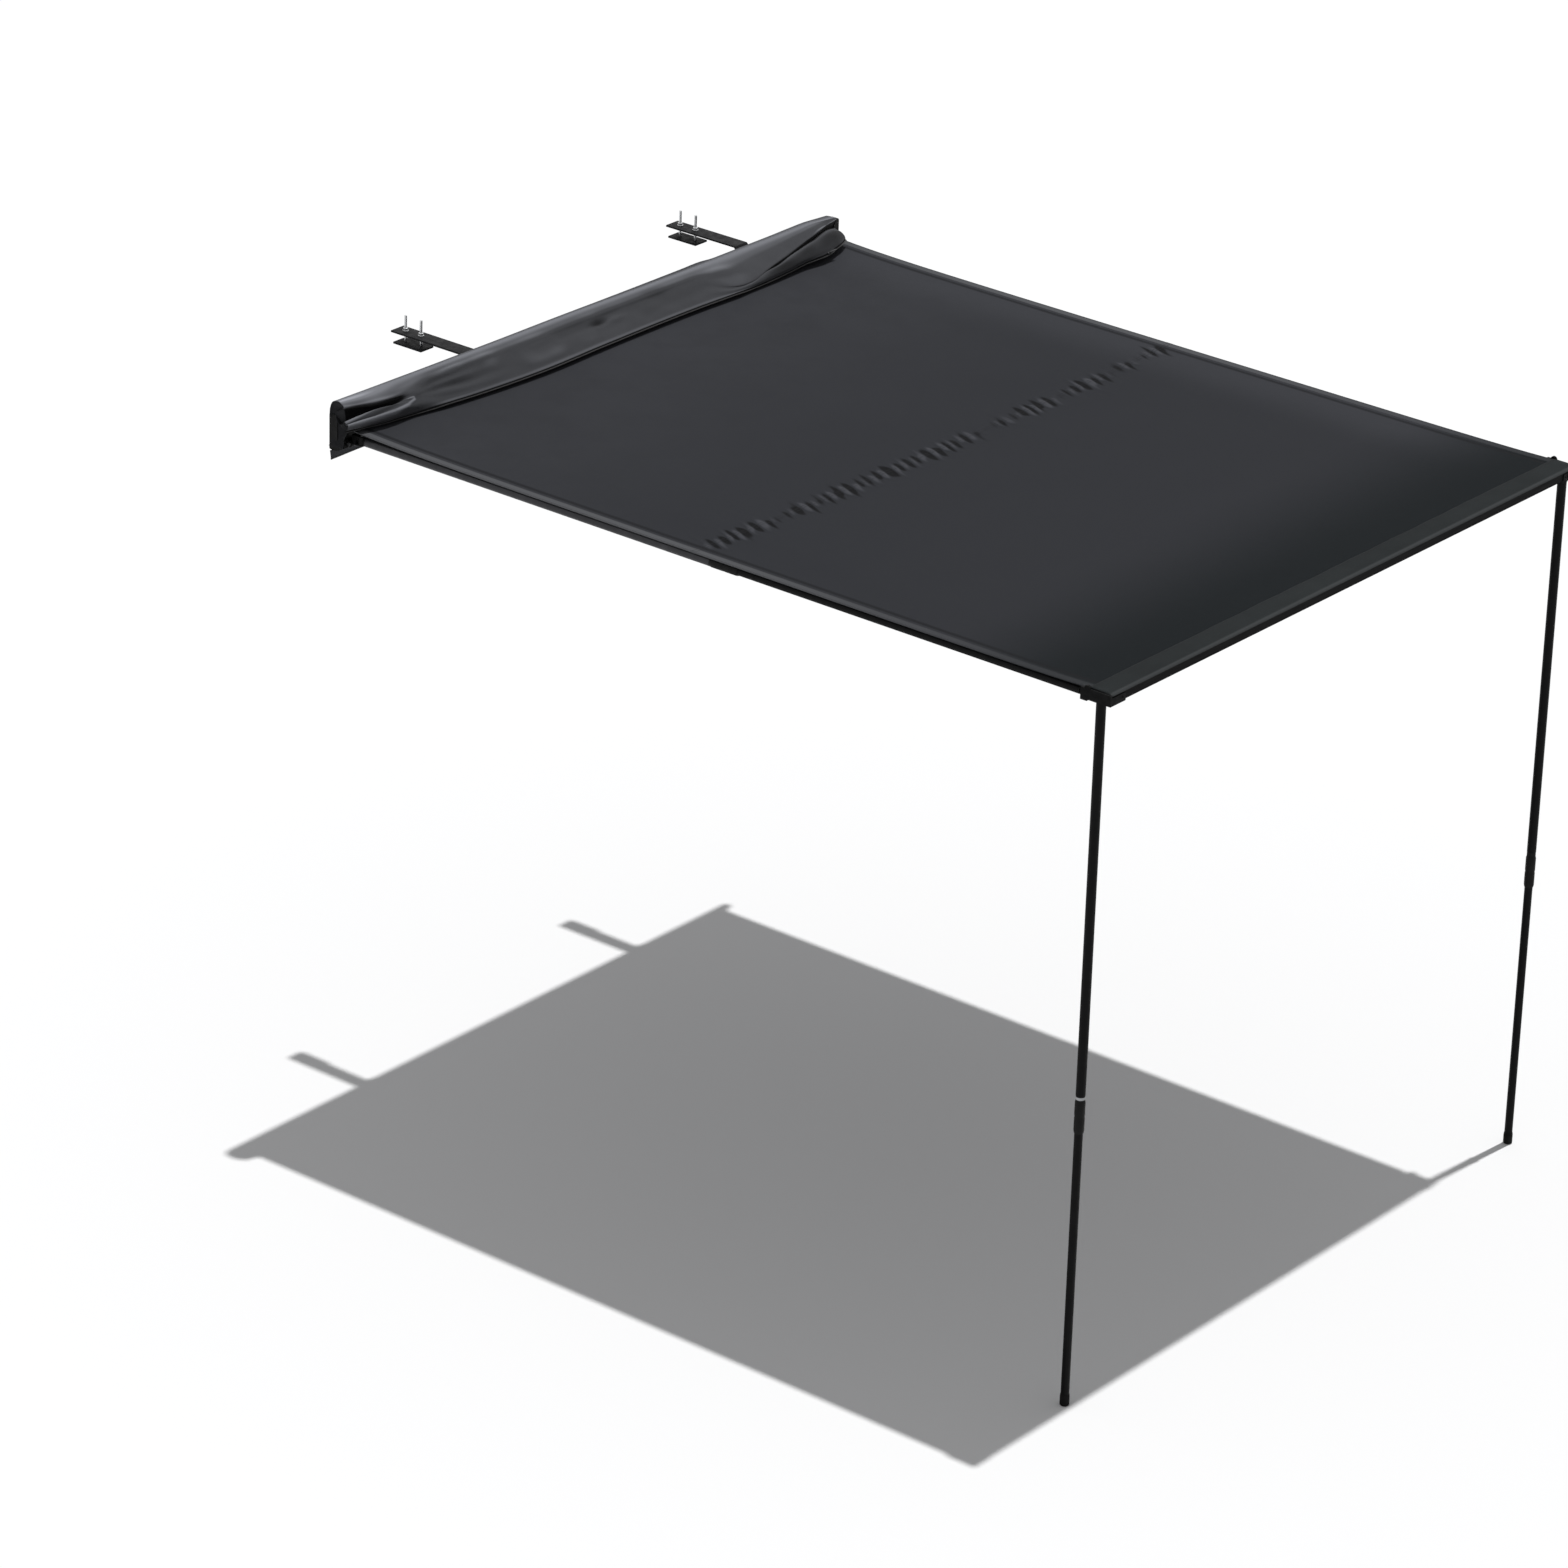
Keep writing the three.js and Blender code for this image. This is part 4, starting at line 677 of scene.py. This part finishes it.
# Where a profile's points lie along it: three up behind the ridge, then eleven from the ridge to the edge
ROW_PLACES = [0, 0.08, 0.16, 0.24, 0.36, 0.46, 0.53, 0.60, 0.67, 0.74, 0.81, 0.87, 0.93, 1]
FALL_PLACES = [0, 0.17, 0.31, 0.40, 0.48, 0.55, 0.63, 0.71, 0.80, 0.89, 1]
FALL_DROP = [0, 0.10, 0.22, 0.32, 0.41, 0.49, 0.58, 0.67, 0.77, 0.88, 1]
GROOVE_Y, GROOVE_Z = -0.0075, RAIL_TOP + 0.001


def behind(top, knee):
    """The flap's rise from the rail's groove, up to just behind the ridge."""
    return [(GROOVE_Y, GROOVE_Z), (GROOVE_Y - 0.002, GROOVE_Z + knee),
            (GROOVE_Y - 0.010, GROOVE_Z + (top[1] - GROOVE_Z) * 0.86)]


def plain_profile(top, end):
    """The flap over the ridge and down to its free edge, with no fold in it."""
    fall = [(top[0] + (end[0] - top[0]) * a, top[1] + (end[1] - top[1]) * b)
            for a, b in zip(FALL_PLACES, FALL_DROP)]
    return np.array(behind(top, 0.020) + fall)


def folded_profile(points):
    top = points[0]
    return np.array(behind(top, (top[1] - GROOVE_Z) * 0.45) + points)


# Near end: a lip, a deep hollow under it, then a folded tongue with two ridges
NEAR_FOLD = {
    -1.036: [
        (-0.034, 0.094), (-0.047, 0.090), (-0.054, 0.081), (-0.042, 0.073), (-0.027, 0.060), (-0.036, 0.036),
        (-0.050, 0.034), (-0.060, 0.042), (-0.064, 0.034), (-0.070, 0.036), (-0.068, 0.023),
    ],
    -0.985: [
        (-0.035, 0.093), (-0.054, 0.087), (-0.064, 0.077), (-0.050, 0.069), (-0.034, 0.057), (-0.044, 0.038),
        (-0.062, 0.041), (-0.074, 0.051), (-0.080, 0.040), (-0.086, 0.042), (-0.082, 0.023),
    ],
    -0.930: [
        (-0.036, 0.092), (-0.060, 0.084), (-0.074, 0.073), (-0.064, 0.064), (-0.050, 0.053), (-0.058, 0.042),
        (-0.076, 0.050), (-0.087, 0.058), (-0.093, 0.047), (-0.099, 0.045), (-0.094, 0.022),
    ],
    -0.870: [
        (-0.036, 0.091), (-0.063, 0.082), (-0.080, 0.071), (-0.077, 0.062), (-0.072, 0.053), (-0.078, 0.050),
        (-0.089, 0.055), (-0.096, 0.057), (-0.100, 0.050), (-0.105, 0.043), (-0.102, 0.022),
    ],
    -0.825: [
        (-0.036, 0.0905), (-0.060, 0.081), (-0.078, 0.071), (-0.083, 0.067), (-0.086, 0.063), (-0.090, 0.060),
        (-0.094, 0.057), (-0.098, 0.053), (-0.102, 0.048), (-0.107, 0.040), (-0.106, 0.021),
    ],
}
# Far end: the flap's lip climbs from the zip towards the ridge, with a puffed roll of cloth below it
FAR_FOLD = {
    0.520: [
        (-0.037, 0.078), (-0.066, 0.068), (-0.092, 0.058), (-0.117, 0.046), (-0.139, 0.034), (-0.1385, 0.031),
        (-0.1405, 0.0305), (-0.1425, 0.030), (-0.145, 0.028), (-0.148, 0.026), (-0.149, 0.021),
    ],
    0.580: [
        (-0.037, 0.078), (-0.062, 0.069), (-0.087, 0.060), (-0.110, 0.051), (-0.131, 0.042), (-0.129, 0.037),
        (-0.132, 0.037), (-0.137, 0.038), (-0.143, 0.036), (-0.148, 0.031), (-0.149, 0.022),
    ],
    0.660: [
        (-0.037, 0.078), (-0.060, 0.071), (-0.082, 0.063), (-0.102, 0.055), (-0.119, 0.049), (-0.116, 0.041),
        (-0.121, 0.042), (-0.130, 0.044), (-0.141, 0.041), (-0.148, 0.035), (-0.148, 0.025),
    ],
    0.740: [
        (-0.038, 0.078), (-0.058, 0.073), (-0.077, 0.067), (-0.093, 0.062), (-0.106, 0.057), (-0.102, 0.046),
        (-0.109, 0.048), (-0.121, 0.052), (-0.134, 0.047), (-0.144, 0.040), (-0.145, 0.029),
    ],
    0.820: [
        (-0.039, 0.079), (-0.055, 0.075), (-0.069, 0.071), (-0.081, 0.067), (-0.091, 0.063), (-0.086, 0.050),
        (-0.095, 0.053), (-0.109, 0.058), (-0.129, 0.052), (-0.144, 0.042), (-0.150, 0.032),
    ],
    0.900: [
        (-0.040, 0.079), (-0.051, 0.076), (-0.061, 0.073), (-0.070, 0.071), (-0.078, 0.068), (-0.072, 0.053),
        (-0.082, 0.057), (-0.099, 0.062), (-0.118, 0.056), (-0.133, 0.044), (-0.137, 0.032),
    ],
    0.970: [
        (-0.043, 0.075), (-0.049, 0.074), (-0.055, 0.072), (-0.061, 0.071), (-0.066, 0.069), (-0.059, 0.052),
        (-0.068, 0.053), (-0.086, 0.056), (-0.104, 0.052), (-0.119, 0.043), (-0.124, 0.033),
    ],
    1.036: [
        (-0.044, 0.071), (-0.048, 0.071), (-0.051, 0.070), (-0.054, 0.070), (-0.057, 0.069), (-0.050, 0.048),
        (-0.057, 0.044), (-0.070, 0.043), (-0.086, 0.041), (-0.099, 0.036), (-0.104, 0.030),
    ],
}


def plain_at(x):
    return plain_profile((np.interp(x, flap_x, ridge_y), np.interp(x, flap_x, ridge_z)),
                         (np.interp(x, flap_x, edge_y), EDGE_Z))


PLAIN_FROM, PLAIN_TO = -0.72, 0.36
GATHERED = 0.45                 # here the profile is still plain, with its rows already crowded to the edge
CROWDED = [0, 0.23, 0.44, 0.64, 0.82, 0.85, 0.88, 0.91, 0.94, 0.97, 1]
FOLDS = {**NEAR_FOLD, **FAR_FOLD}


def crowded_at(x):
    """The plain profile with its rows where the far fold needs them."""
    plain = plain_at(x)
    fall = [(np.interp(s, FALL_PLACES, plain[3:, 0]), np.interp(s, FALL_PLACES, plain[3:, 1]))
            for s in CROWDED]
    return np.array([*plain[:3], *fall])


def station(x):
    if x in FOLDS:
        return folded_profile(FOLDS[x])
    return crowded_at(x) if x == GATHERED else plain_at(x)


stations = sorted([*FOLDS, PLAIN_FROM, PLAIN_TO, GATHERED])
profiles = np.array([station(x) for x in stations])


def profile_at(x):
    if PLAIN_FROM < x < PLAIN_TO:
        return plain_at(x)
    return np.array([[through(np.array([x]), stations, profiles[:, k, c])[0] for c in (0, 1)]
                     for k in range(len(ROW_PLACES))])


# FX runs along the rail in metres, and FT across the flap, from 0 in the groove to 1 at its free edge
t = np.linspace(0, 1, FLAP_ROWS)
FX, FT = np.meshgrid(flap_x, t, indexing="ij")
FY, FZ = np.zeros_like(FX), np.zeros_like(FX)
for i, x in enumerate(flap_x):
    points = profile_at(x)
    FY[i] = through(t, ROW_PLACES, points[:, 0])
    FZ[i] = through(t, ROW_PLACES, points[:, 1])

# the far end is drawn in, and shows the rail's end
DRAWN_FROM, DRAWN_TO = 0.84, 0.985      # from where, and where the end of the ridge comes to lie
drawn_share = (DRAWN_TO - 0.022 * ease(FT, 0.4, 1) - DRAWN_FROM) / (COVER_HALF - DRAWN_FROM)
FX = np.where(FX > DRAWN_FROM, DRAWN_FROM + (FX - DRAWN_FROM) * drawn_share, FX)

# soft drag lines of a thrown-back flap, most of them along it; the zip keeps its edge smooth
outward = ease(FT, 0.28, 0.45) * (1 - 0.9 * ease(FT, 0.84, 0.97))
plainly = ease(FX, -0.80, -0.60) * ease(0.60 - FX, 0, 0.1)
relief = 0.0009 * outward * waves(FX * 0.22, FT * 0.10, 21, 16, 0.10, 0.022)
relief += 0.0038 * outward * plainly * waves(FX * 0.10, FT * 0.12, 27, 9, 0.09, 0.040)
relief += 0.0022 * outward * waves(FX, FT * 0.2, 33, 12, 0.35, 0.09)
# a dent a little before the middle with a small puff beside it
dent = bell(FX, -0.065, 0.030) * bell(FT, 0.60, 0.07)
puff = bell(FX, -0.005, 0.035) * bell(FT, 0.66, 0.08)
relief += 0.005 * puff - 0.008 * dent
# the tongue's two ridges, which meet in a rounded end, round a shallow valley
PROFILE = 0.16                  # a profile's length, about, so that both directions count in metres
TONGUE = np.array([
    (-1.036, 0.915), (-0.96, 0.935), (-0.89, 0.93), (-0.84, 0.88), (-0.812, 0.80), (-0.812, 0.725),
    (-0.84, 0.70), (-0.88, 0.715), (-0.95, 0.77), (-1.036, 0.82),
]) * (1, PROFILE)
tongue = bell(from_line(FX, FT * PROFILE, TONGUE), 0, 0.0055)
valley = bell(FT, 0.87 - 0.08 * ease(FX, -0.98, -0.83), 0.035) * (1 - ease(FX, -0.88, -0.83)) * (1 - tongue)
relief += 0.0022 * tongue
# drag lines that fan out from the near fold
fan = np.sin(2 * np.pi * ((FT - 0.62) / (0.14 + 0.22 * ease(FX, -0.86, -0.3)) + 0.15))
relief += 0.0026 * fan * ease(FX, -0.80, -0.62) * (1 - ease(FX, -0.66, -0.25)) * outward

flap_grid = np.stack([FX, FY, FZ], -1)
flap_normals = grid_normals(flap_grid)
if flap_normals[len(flap_x) // 2, FLAP_ROWS // 2, 2] < 0:
    flap_normals = -flap_normals
flap_grid = flap_grid + flap_normals * (relief * ease(FT, 0.2, 0.4))[..., None]

# painted shade in the hollow, the far crease, the tongue's valley, the dent, under the ridge's lower edge and
# in the troughs of the relief
FOLDED = 0.004                  # relief this far from the plain shape counts as a full crest or crease
hollow = ease(FT, 0.455, 0.50) * (1 - ease(FT, 0.69, 0.76)) * (1 - ease(FX, -0.86, -0.815))
crease = through(FT, [0, 0.58, 0.63, 0.72, 0.775, 0.84, 0.94, 1], [0, 0, 1.25, 1.2, 0.12, 0.95, 0.85, 0.25])
crease = np.maximum(crease, 0) * ease(FX, 0.50, 0.64)
streaks = 0.5 + 0.5 * waves(FX * 0.25, FT * 0.12, 41, 10, 0.05, 0.02)
crease = crease * (1 - 0.35 * np.clip(streaks, 0, 1) * ease(FT, 0.68, 0.75))
below = bell(FT, 0.47, 0.035) * ease(FX, -0.75, -0.4) * (1 - ease(FX, 0.45, 0.6))
troughs = np.clip(-relief / FOLDED, 0, 1)
painted_shade = 1.3 * hollow + crease + 0.5 * valley + 0.3 * below + 0.5 * dent + 0.30 * troughs

# painted highlight along the ridge, the tongue, the zip, both lips, the far roll and the crests
ridge = bell(FT, 0.265, 0.07) + 0.4 * bell(FT, 0.38, 0.05)
by_zip = ease(FT, 0.93, 0.98) * ease(FX, -0.80, -0.7) * (1 - ease(FX, 0.45, 0.6))
lip = bell(FT, 0.43, 0.025) * (1 - ease(FX, -0.90, -0.80))
far_lip = bell(FT, 0.575, 0.022) * ease(FX, 0.80, 0.93)
far_roll = bell(FT, 0.775, 0.022) * ease(FX, 0.52, 0.68)
painted_highlight = 0.85 * ridge + 0.75 * tongue + 0.42 * by_zip + 0.6 * lip + 1.0 * far_lip + 0.45 * far_roll
painted_highlight += 0.30 * np.clip(relief / FOLDED, 0, 1)
# the near end of the ridge catches the light, so it goes above 1
corner = bell(FT, 0.29, 0.055) * (1 - ease(FX, -1.0, -0.82))

# painted highlight less painted shade, written on the flap's points
flap_marks = np.clip(painted_highlight, 0, 1) + corner - painted_shade
flap = sheet_of("cover_flap", flap_grid, COVER_CLOTH, cover_finish, marks=flap_marks)
# the cover's colour: painted shade where the marks are below 0, painted highlight above 0, and a stronger
# painted highlight above 1 at the ridge's near end
cover_finish.paint(cover_finish.mark(), -0.05, -1.0, 0.93, shade(COVER, 0.10))
cover_finish.paint(cover_finish.mark(), 0.05, 1.0, 0.9, shade(COVER, 3.8))
cover_finish.paint(cover_finish.mark(), 1.1, 2.0, 0.85, shade(COVER, 7.5))
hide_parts("cover_top")
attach(flap, "rail_assembly")

# its zip tape, and the coil sewn on it
TAPE, TAPE_UNDER = 0.007, 0.004         # how far the tape stands out, and how far it goes under the flap
TAPE_CLOTH, TAPE_DROP = 0.0008, 0.0009  # its thickness, and how far it lies under the edge's middle
edge_line = flap_grid[:, -1]
outwards = flap_grid[:, -1] - flap_grid[:, -4]
outwards[:, 0] = 0
outwards /= np.linalg.norm(outwards, axis=1, keepdims=True)
tape_grid = edge_line[:, None] + outwards[:, None] * np.linspace(-TAPE_UNDER, TAPE, 7)[None, :, None]
tape_grid[..., 2] -= TAPE_DROP
tape = sheet_of("zip_tape_upper", tape_grid, TAPE_CLOTH, tape_finish)
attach(tape, "rail_assembly")


def tube_along(name, line, radii, sides, finish):
    """A closed tube of an oval section along a line of points."""
    wide, high = radii          # sideways, and upwards
    line = np.asarray(line, float)
    run = np.gradient(line, axis=0)
    run /= np.linalg.norm(run, axis=1, keepdims=True)
    side = np.cross(run, [0, 0, 1.0])
    side /= np.linalg.norm(side, axis=1, keepdims=True)
    lift = np.cross(side, run)
    angles = np.arange(sides) * 2 * math.pi / sides
    round_x, round_z = np.cos(angles)[None, :, None], np.sin(angles)[None, :, None]
    rings = line[:, None] + wide * round_x * side[:, None] + high * round_z * lift[:, None]
    points = rings.reshape(-1, 3)
    faces = []
    for i in range(len(line) - 1):
        for j in range(sides):
            k = (j + 1) % sides
            faces.append((i * sides + j, i * sides + k, (i + 1) * sides + k, (i + 1) * sides + j))
    faces.append(tuple(reversed(range(sides))))
    faces.append(tuple(range((len(line) - 1) * sides, len(line) * sides)))
    return new_object(name, points, faces, finish)


coil_line = edge_line + outwards * (TAPE - 0.001) + np.array([0, 0, 0.0006])
coil = tube_along("zip_coil_upper", coil_line, (0.0026, 0.0014), 8, teeth_finish)
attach(coil, "rail_assembly")

# end panels: the cover's two soft ends, pushed in a little, down to a loose lower edge
PANEL_POINTS, PANEL_LEVELS = 48, 16
BAGGED = 0.010                  # how far a panel's middle is pushed in

for name, side in (("near", -1), ("far", 1)):
    column = flap_grid[0 if side < 0 else -1]
    edge = column[-1, 1:]
    low = np.array([(-0.005, -0.036), (-0.052, -0.034), (-0.0545, -0.008), (edge[0] * 0.6 - 0.0205, 0.006),
                    edge + (0.004, -0.004)])
    shares = np.linspace(0, 1, PANEL_POINTS)
    upper_line, low_line = evenly(column, shares), evenly(low, shares)
    down_share = np.linspace(0, 1, PANEL_LEVELS)
    bag = np.sin(np.pi * down_share) ** 0.7
    grid = np.zeros((PANEL_POINTS, PANEL_LEVELS, 3))
    for j, s in enumerate(down_share):
        grid[:, j, 1:] = upper_line[:, 1:] * (1 - s) + low_line * s
        grid[:, j, 0] = upper_line[:, 0] + side * (0.0006 - BAGGED * bag[j])
    crumpled = 1 + waves(grid[..., 1] * 3, grid[..., 2] * 3, 50 + side, 12, 0.35, 0.08)
    grid[..., 0] -= side * 0.0024 * crumpled * bag
    panel = sheet_of(f"cover_end_shaded_cloth_{name}", grid, END_CLOTH, end_shade_finish, flip=side < 0)
    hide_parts(f"cover_end_{name}")
    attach(panel, "rail_assembly")

# the lower flap, a short strip under the rail with the other half of the zip
STRIP_TOP = -0.0485
strip_drop = float(STRIP_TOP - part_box("cover_bottom")[0][2] - 0.004)
SX, ST = np.meshgrid(spaced([-COVER_HALF, COVER_HALF], [0.012]), np.linspace(0, 1, 9), indexing="ij")
SZ = STRIP_TOP - strip_drop * ST
SY = -0.0085 - 0.0035 * ST + 0.003 * ST * waves(SX, ST * 0.02, 71, 9, 0.5, 0.12)
strip = sheet_of("cover_lower_flap", np.stack([SX, SY, SZ], -1), COVER_CLOTH, cover_finish, flip=True)
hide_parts("cover_bottom")
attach(strip, "rail_assembly")
low_line = np.stack([SX[:, -1], SY[:, -1], SZ[:, -1] - 0.0015], -1)
low_coil = tube_along("zip_coil_lower", low_line, (0.0016, 0.0030), 8, teeth_finish)
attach(low_coil, "rail_assembly")

# Storage straps

WEB_WIDE, WEB_THICK = 0.025, 0.0015
STRAP_Y = -0.0215               # how far out from the rail's back the straps hang


def strap_place(name):
    """A strap's middle across, its lower end and its upper end."""
    low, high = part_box(f"storage_strap_{name}")
    return (low[0] + high[0]) / 2, low[2], high[2]


for name, turned_by in (("near", 0), ("far", 1.5)):
    middle, foot, head = strap_place(name)
    drop = float(head - foot - 0.010)
    WX, WT = np.meshgrid(np.linspace(-WEB_WIDE / 2, WEB_WIDE / 2, 7), np.linspace(0, 1, 40), indexing="ij")
    WZ = head - 0.003 - drop * WT
    WY = STRAP_Y + 0.004 * np.sin(WT * 5.1) * WT + 0.0012 * np.sin(WT * 16)
    twist = 0.12 * WT * np.sin(WT * 3 + turned_by)
    web = np.stack([middle + WX * np.cos(twist), WY + WX * np.sin(twist), WZ], -1)
    strap = sheet_of(f"strap_web_{name}", web, WEB_THICK, webbing, flip=True)
    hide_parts(f"storage_strap_{name}")
    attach(strap, "rail_assembly")

BUCKLE_WIDE, BUCKLE_HIGH, BUCKLE_THICK = 0.032, 0.038, 0.0064
BUCKLE_BAR = 0.0065                     # the width of its two side bars together
BUCKLE_HOLES = ((0.0125, 0.004), (0.0035, 0.006), (-0.0095, 0.010))     # height over the middle, and size
CORNER_STEPS = 6


def rounded(wide, high, radius, middle):
    """The corner points of a rounded rectangle in a plane."""
    out = []
    for cx, cz, first in ((1, 1, 0), (-1, 1, 90), (-1, -1, 180), (1, -1, 270)):
        for step in range(CORNER_STEPS + 1):
            angle = math.radians(first + 90 * step / CORNER_STEPS)
            out.append((middle[0] + cx * (wide / 2 - radius) + radius * math.cos(angle),
                        middle[1] + cz * (high / 2 - radius) + radius * math.sin(angle)))
    return out


def plate(name, loops, thickness, edge, finish, place):
    """A flat plate with holes and rounded edges, standing in the X and Z directions."""
    curve = bpy.data.curves.new(name, "CURVE")
    curve.dimensions, curve.fill_mode = "2D", "BOTH"
    curve.extrude, curve.bevel_depth = thickness / 2 - edge, edge
    curve.bevel_resolution, curve.offset = 2, -edge
    for loop in loops:
        line = curve.splines.new("POLY")
        line.points.add(len(loop) - 1)
        for point, (x, z) in zip(line.points, loop):
            point.co = (x, z, 0, 1)
        line.use_cyclic_u = True
    made = bpy.data.objects.new(name, curve)
    scene.collection.objects.link(made)
    bpy.context.view_layer.update()
    mesh = bpy.data.meshes.new_from_object(made.evaluated_get(bpy.context.evaluated_depsgraph_get()))
    bpy.data.objects.remove(made)
    mesh.name = name
    mesh.transform(Matrix.Translation(place) @ Matrix.Rotation(math.radians(90), 4, "X"))
    mesh.materials.clear()
    mesh.materials.append(finish.material)
    for polygon in mesh.polygons:
        polygon.use_smooth = True
    mesh.set_sharp_from_angle(angle=math.radians(40))
    made = bpy.data.objects.new(name, mesh)
    scene.collection.objects.link(made)
    return made


for name in ("near", "far"):
    middle, foot, head = strap_place(name)
    loops = [rounded(BUCKLE_WIDE, BUCKLE_HIGH, 0.004, (0, 0))]
    for height, high in BUCKLE_HOLES:
        loops.append(rounded(BUCKLE_WIDE - BUCKLE_BAR, high, 0.0015, (0, height)))
    buckle = plate(f"strap_buckle_{name}", loops, BUCKLE_THICK, 0.0011, plastic_finish,
                   (middle, STRAP_Y, foot + BUCKLE_HIGH / 2 + 0.001))
    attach(buckle, "rail_assembly")

# the cord in the rail's groove that holds the canopy
PIPING = 0.0027                 # its radius
piping_x = spaced([-HALF_WIDTH + 0.001, HALF_WIDTH - 0.001], [0.02])
piping_line = np.stack([piping_x, piping_x * 0 + REAR_Y, piping_x * 0 + REAR_Z], -1)
piping = tube_along("canopy_piping", piping_line, (PIPING, PIPING), 12, canopy_finish)
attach(piping, "rail_assembly")
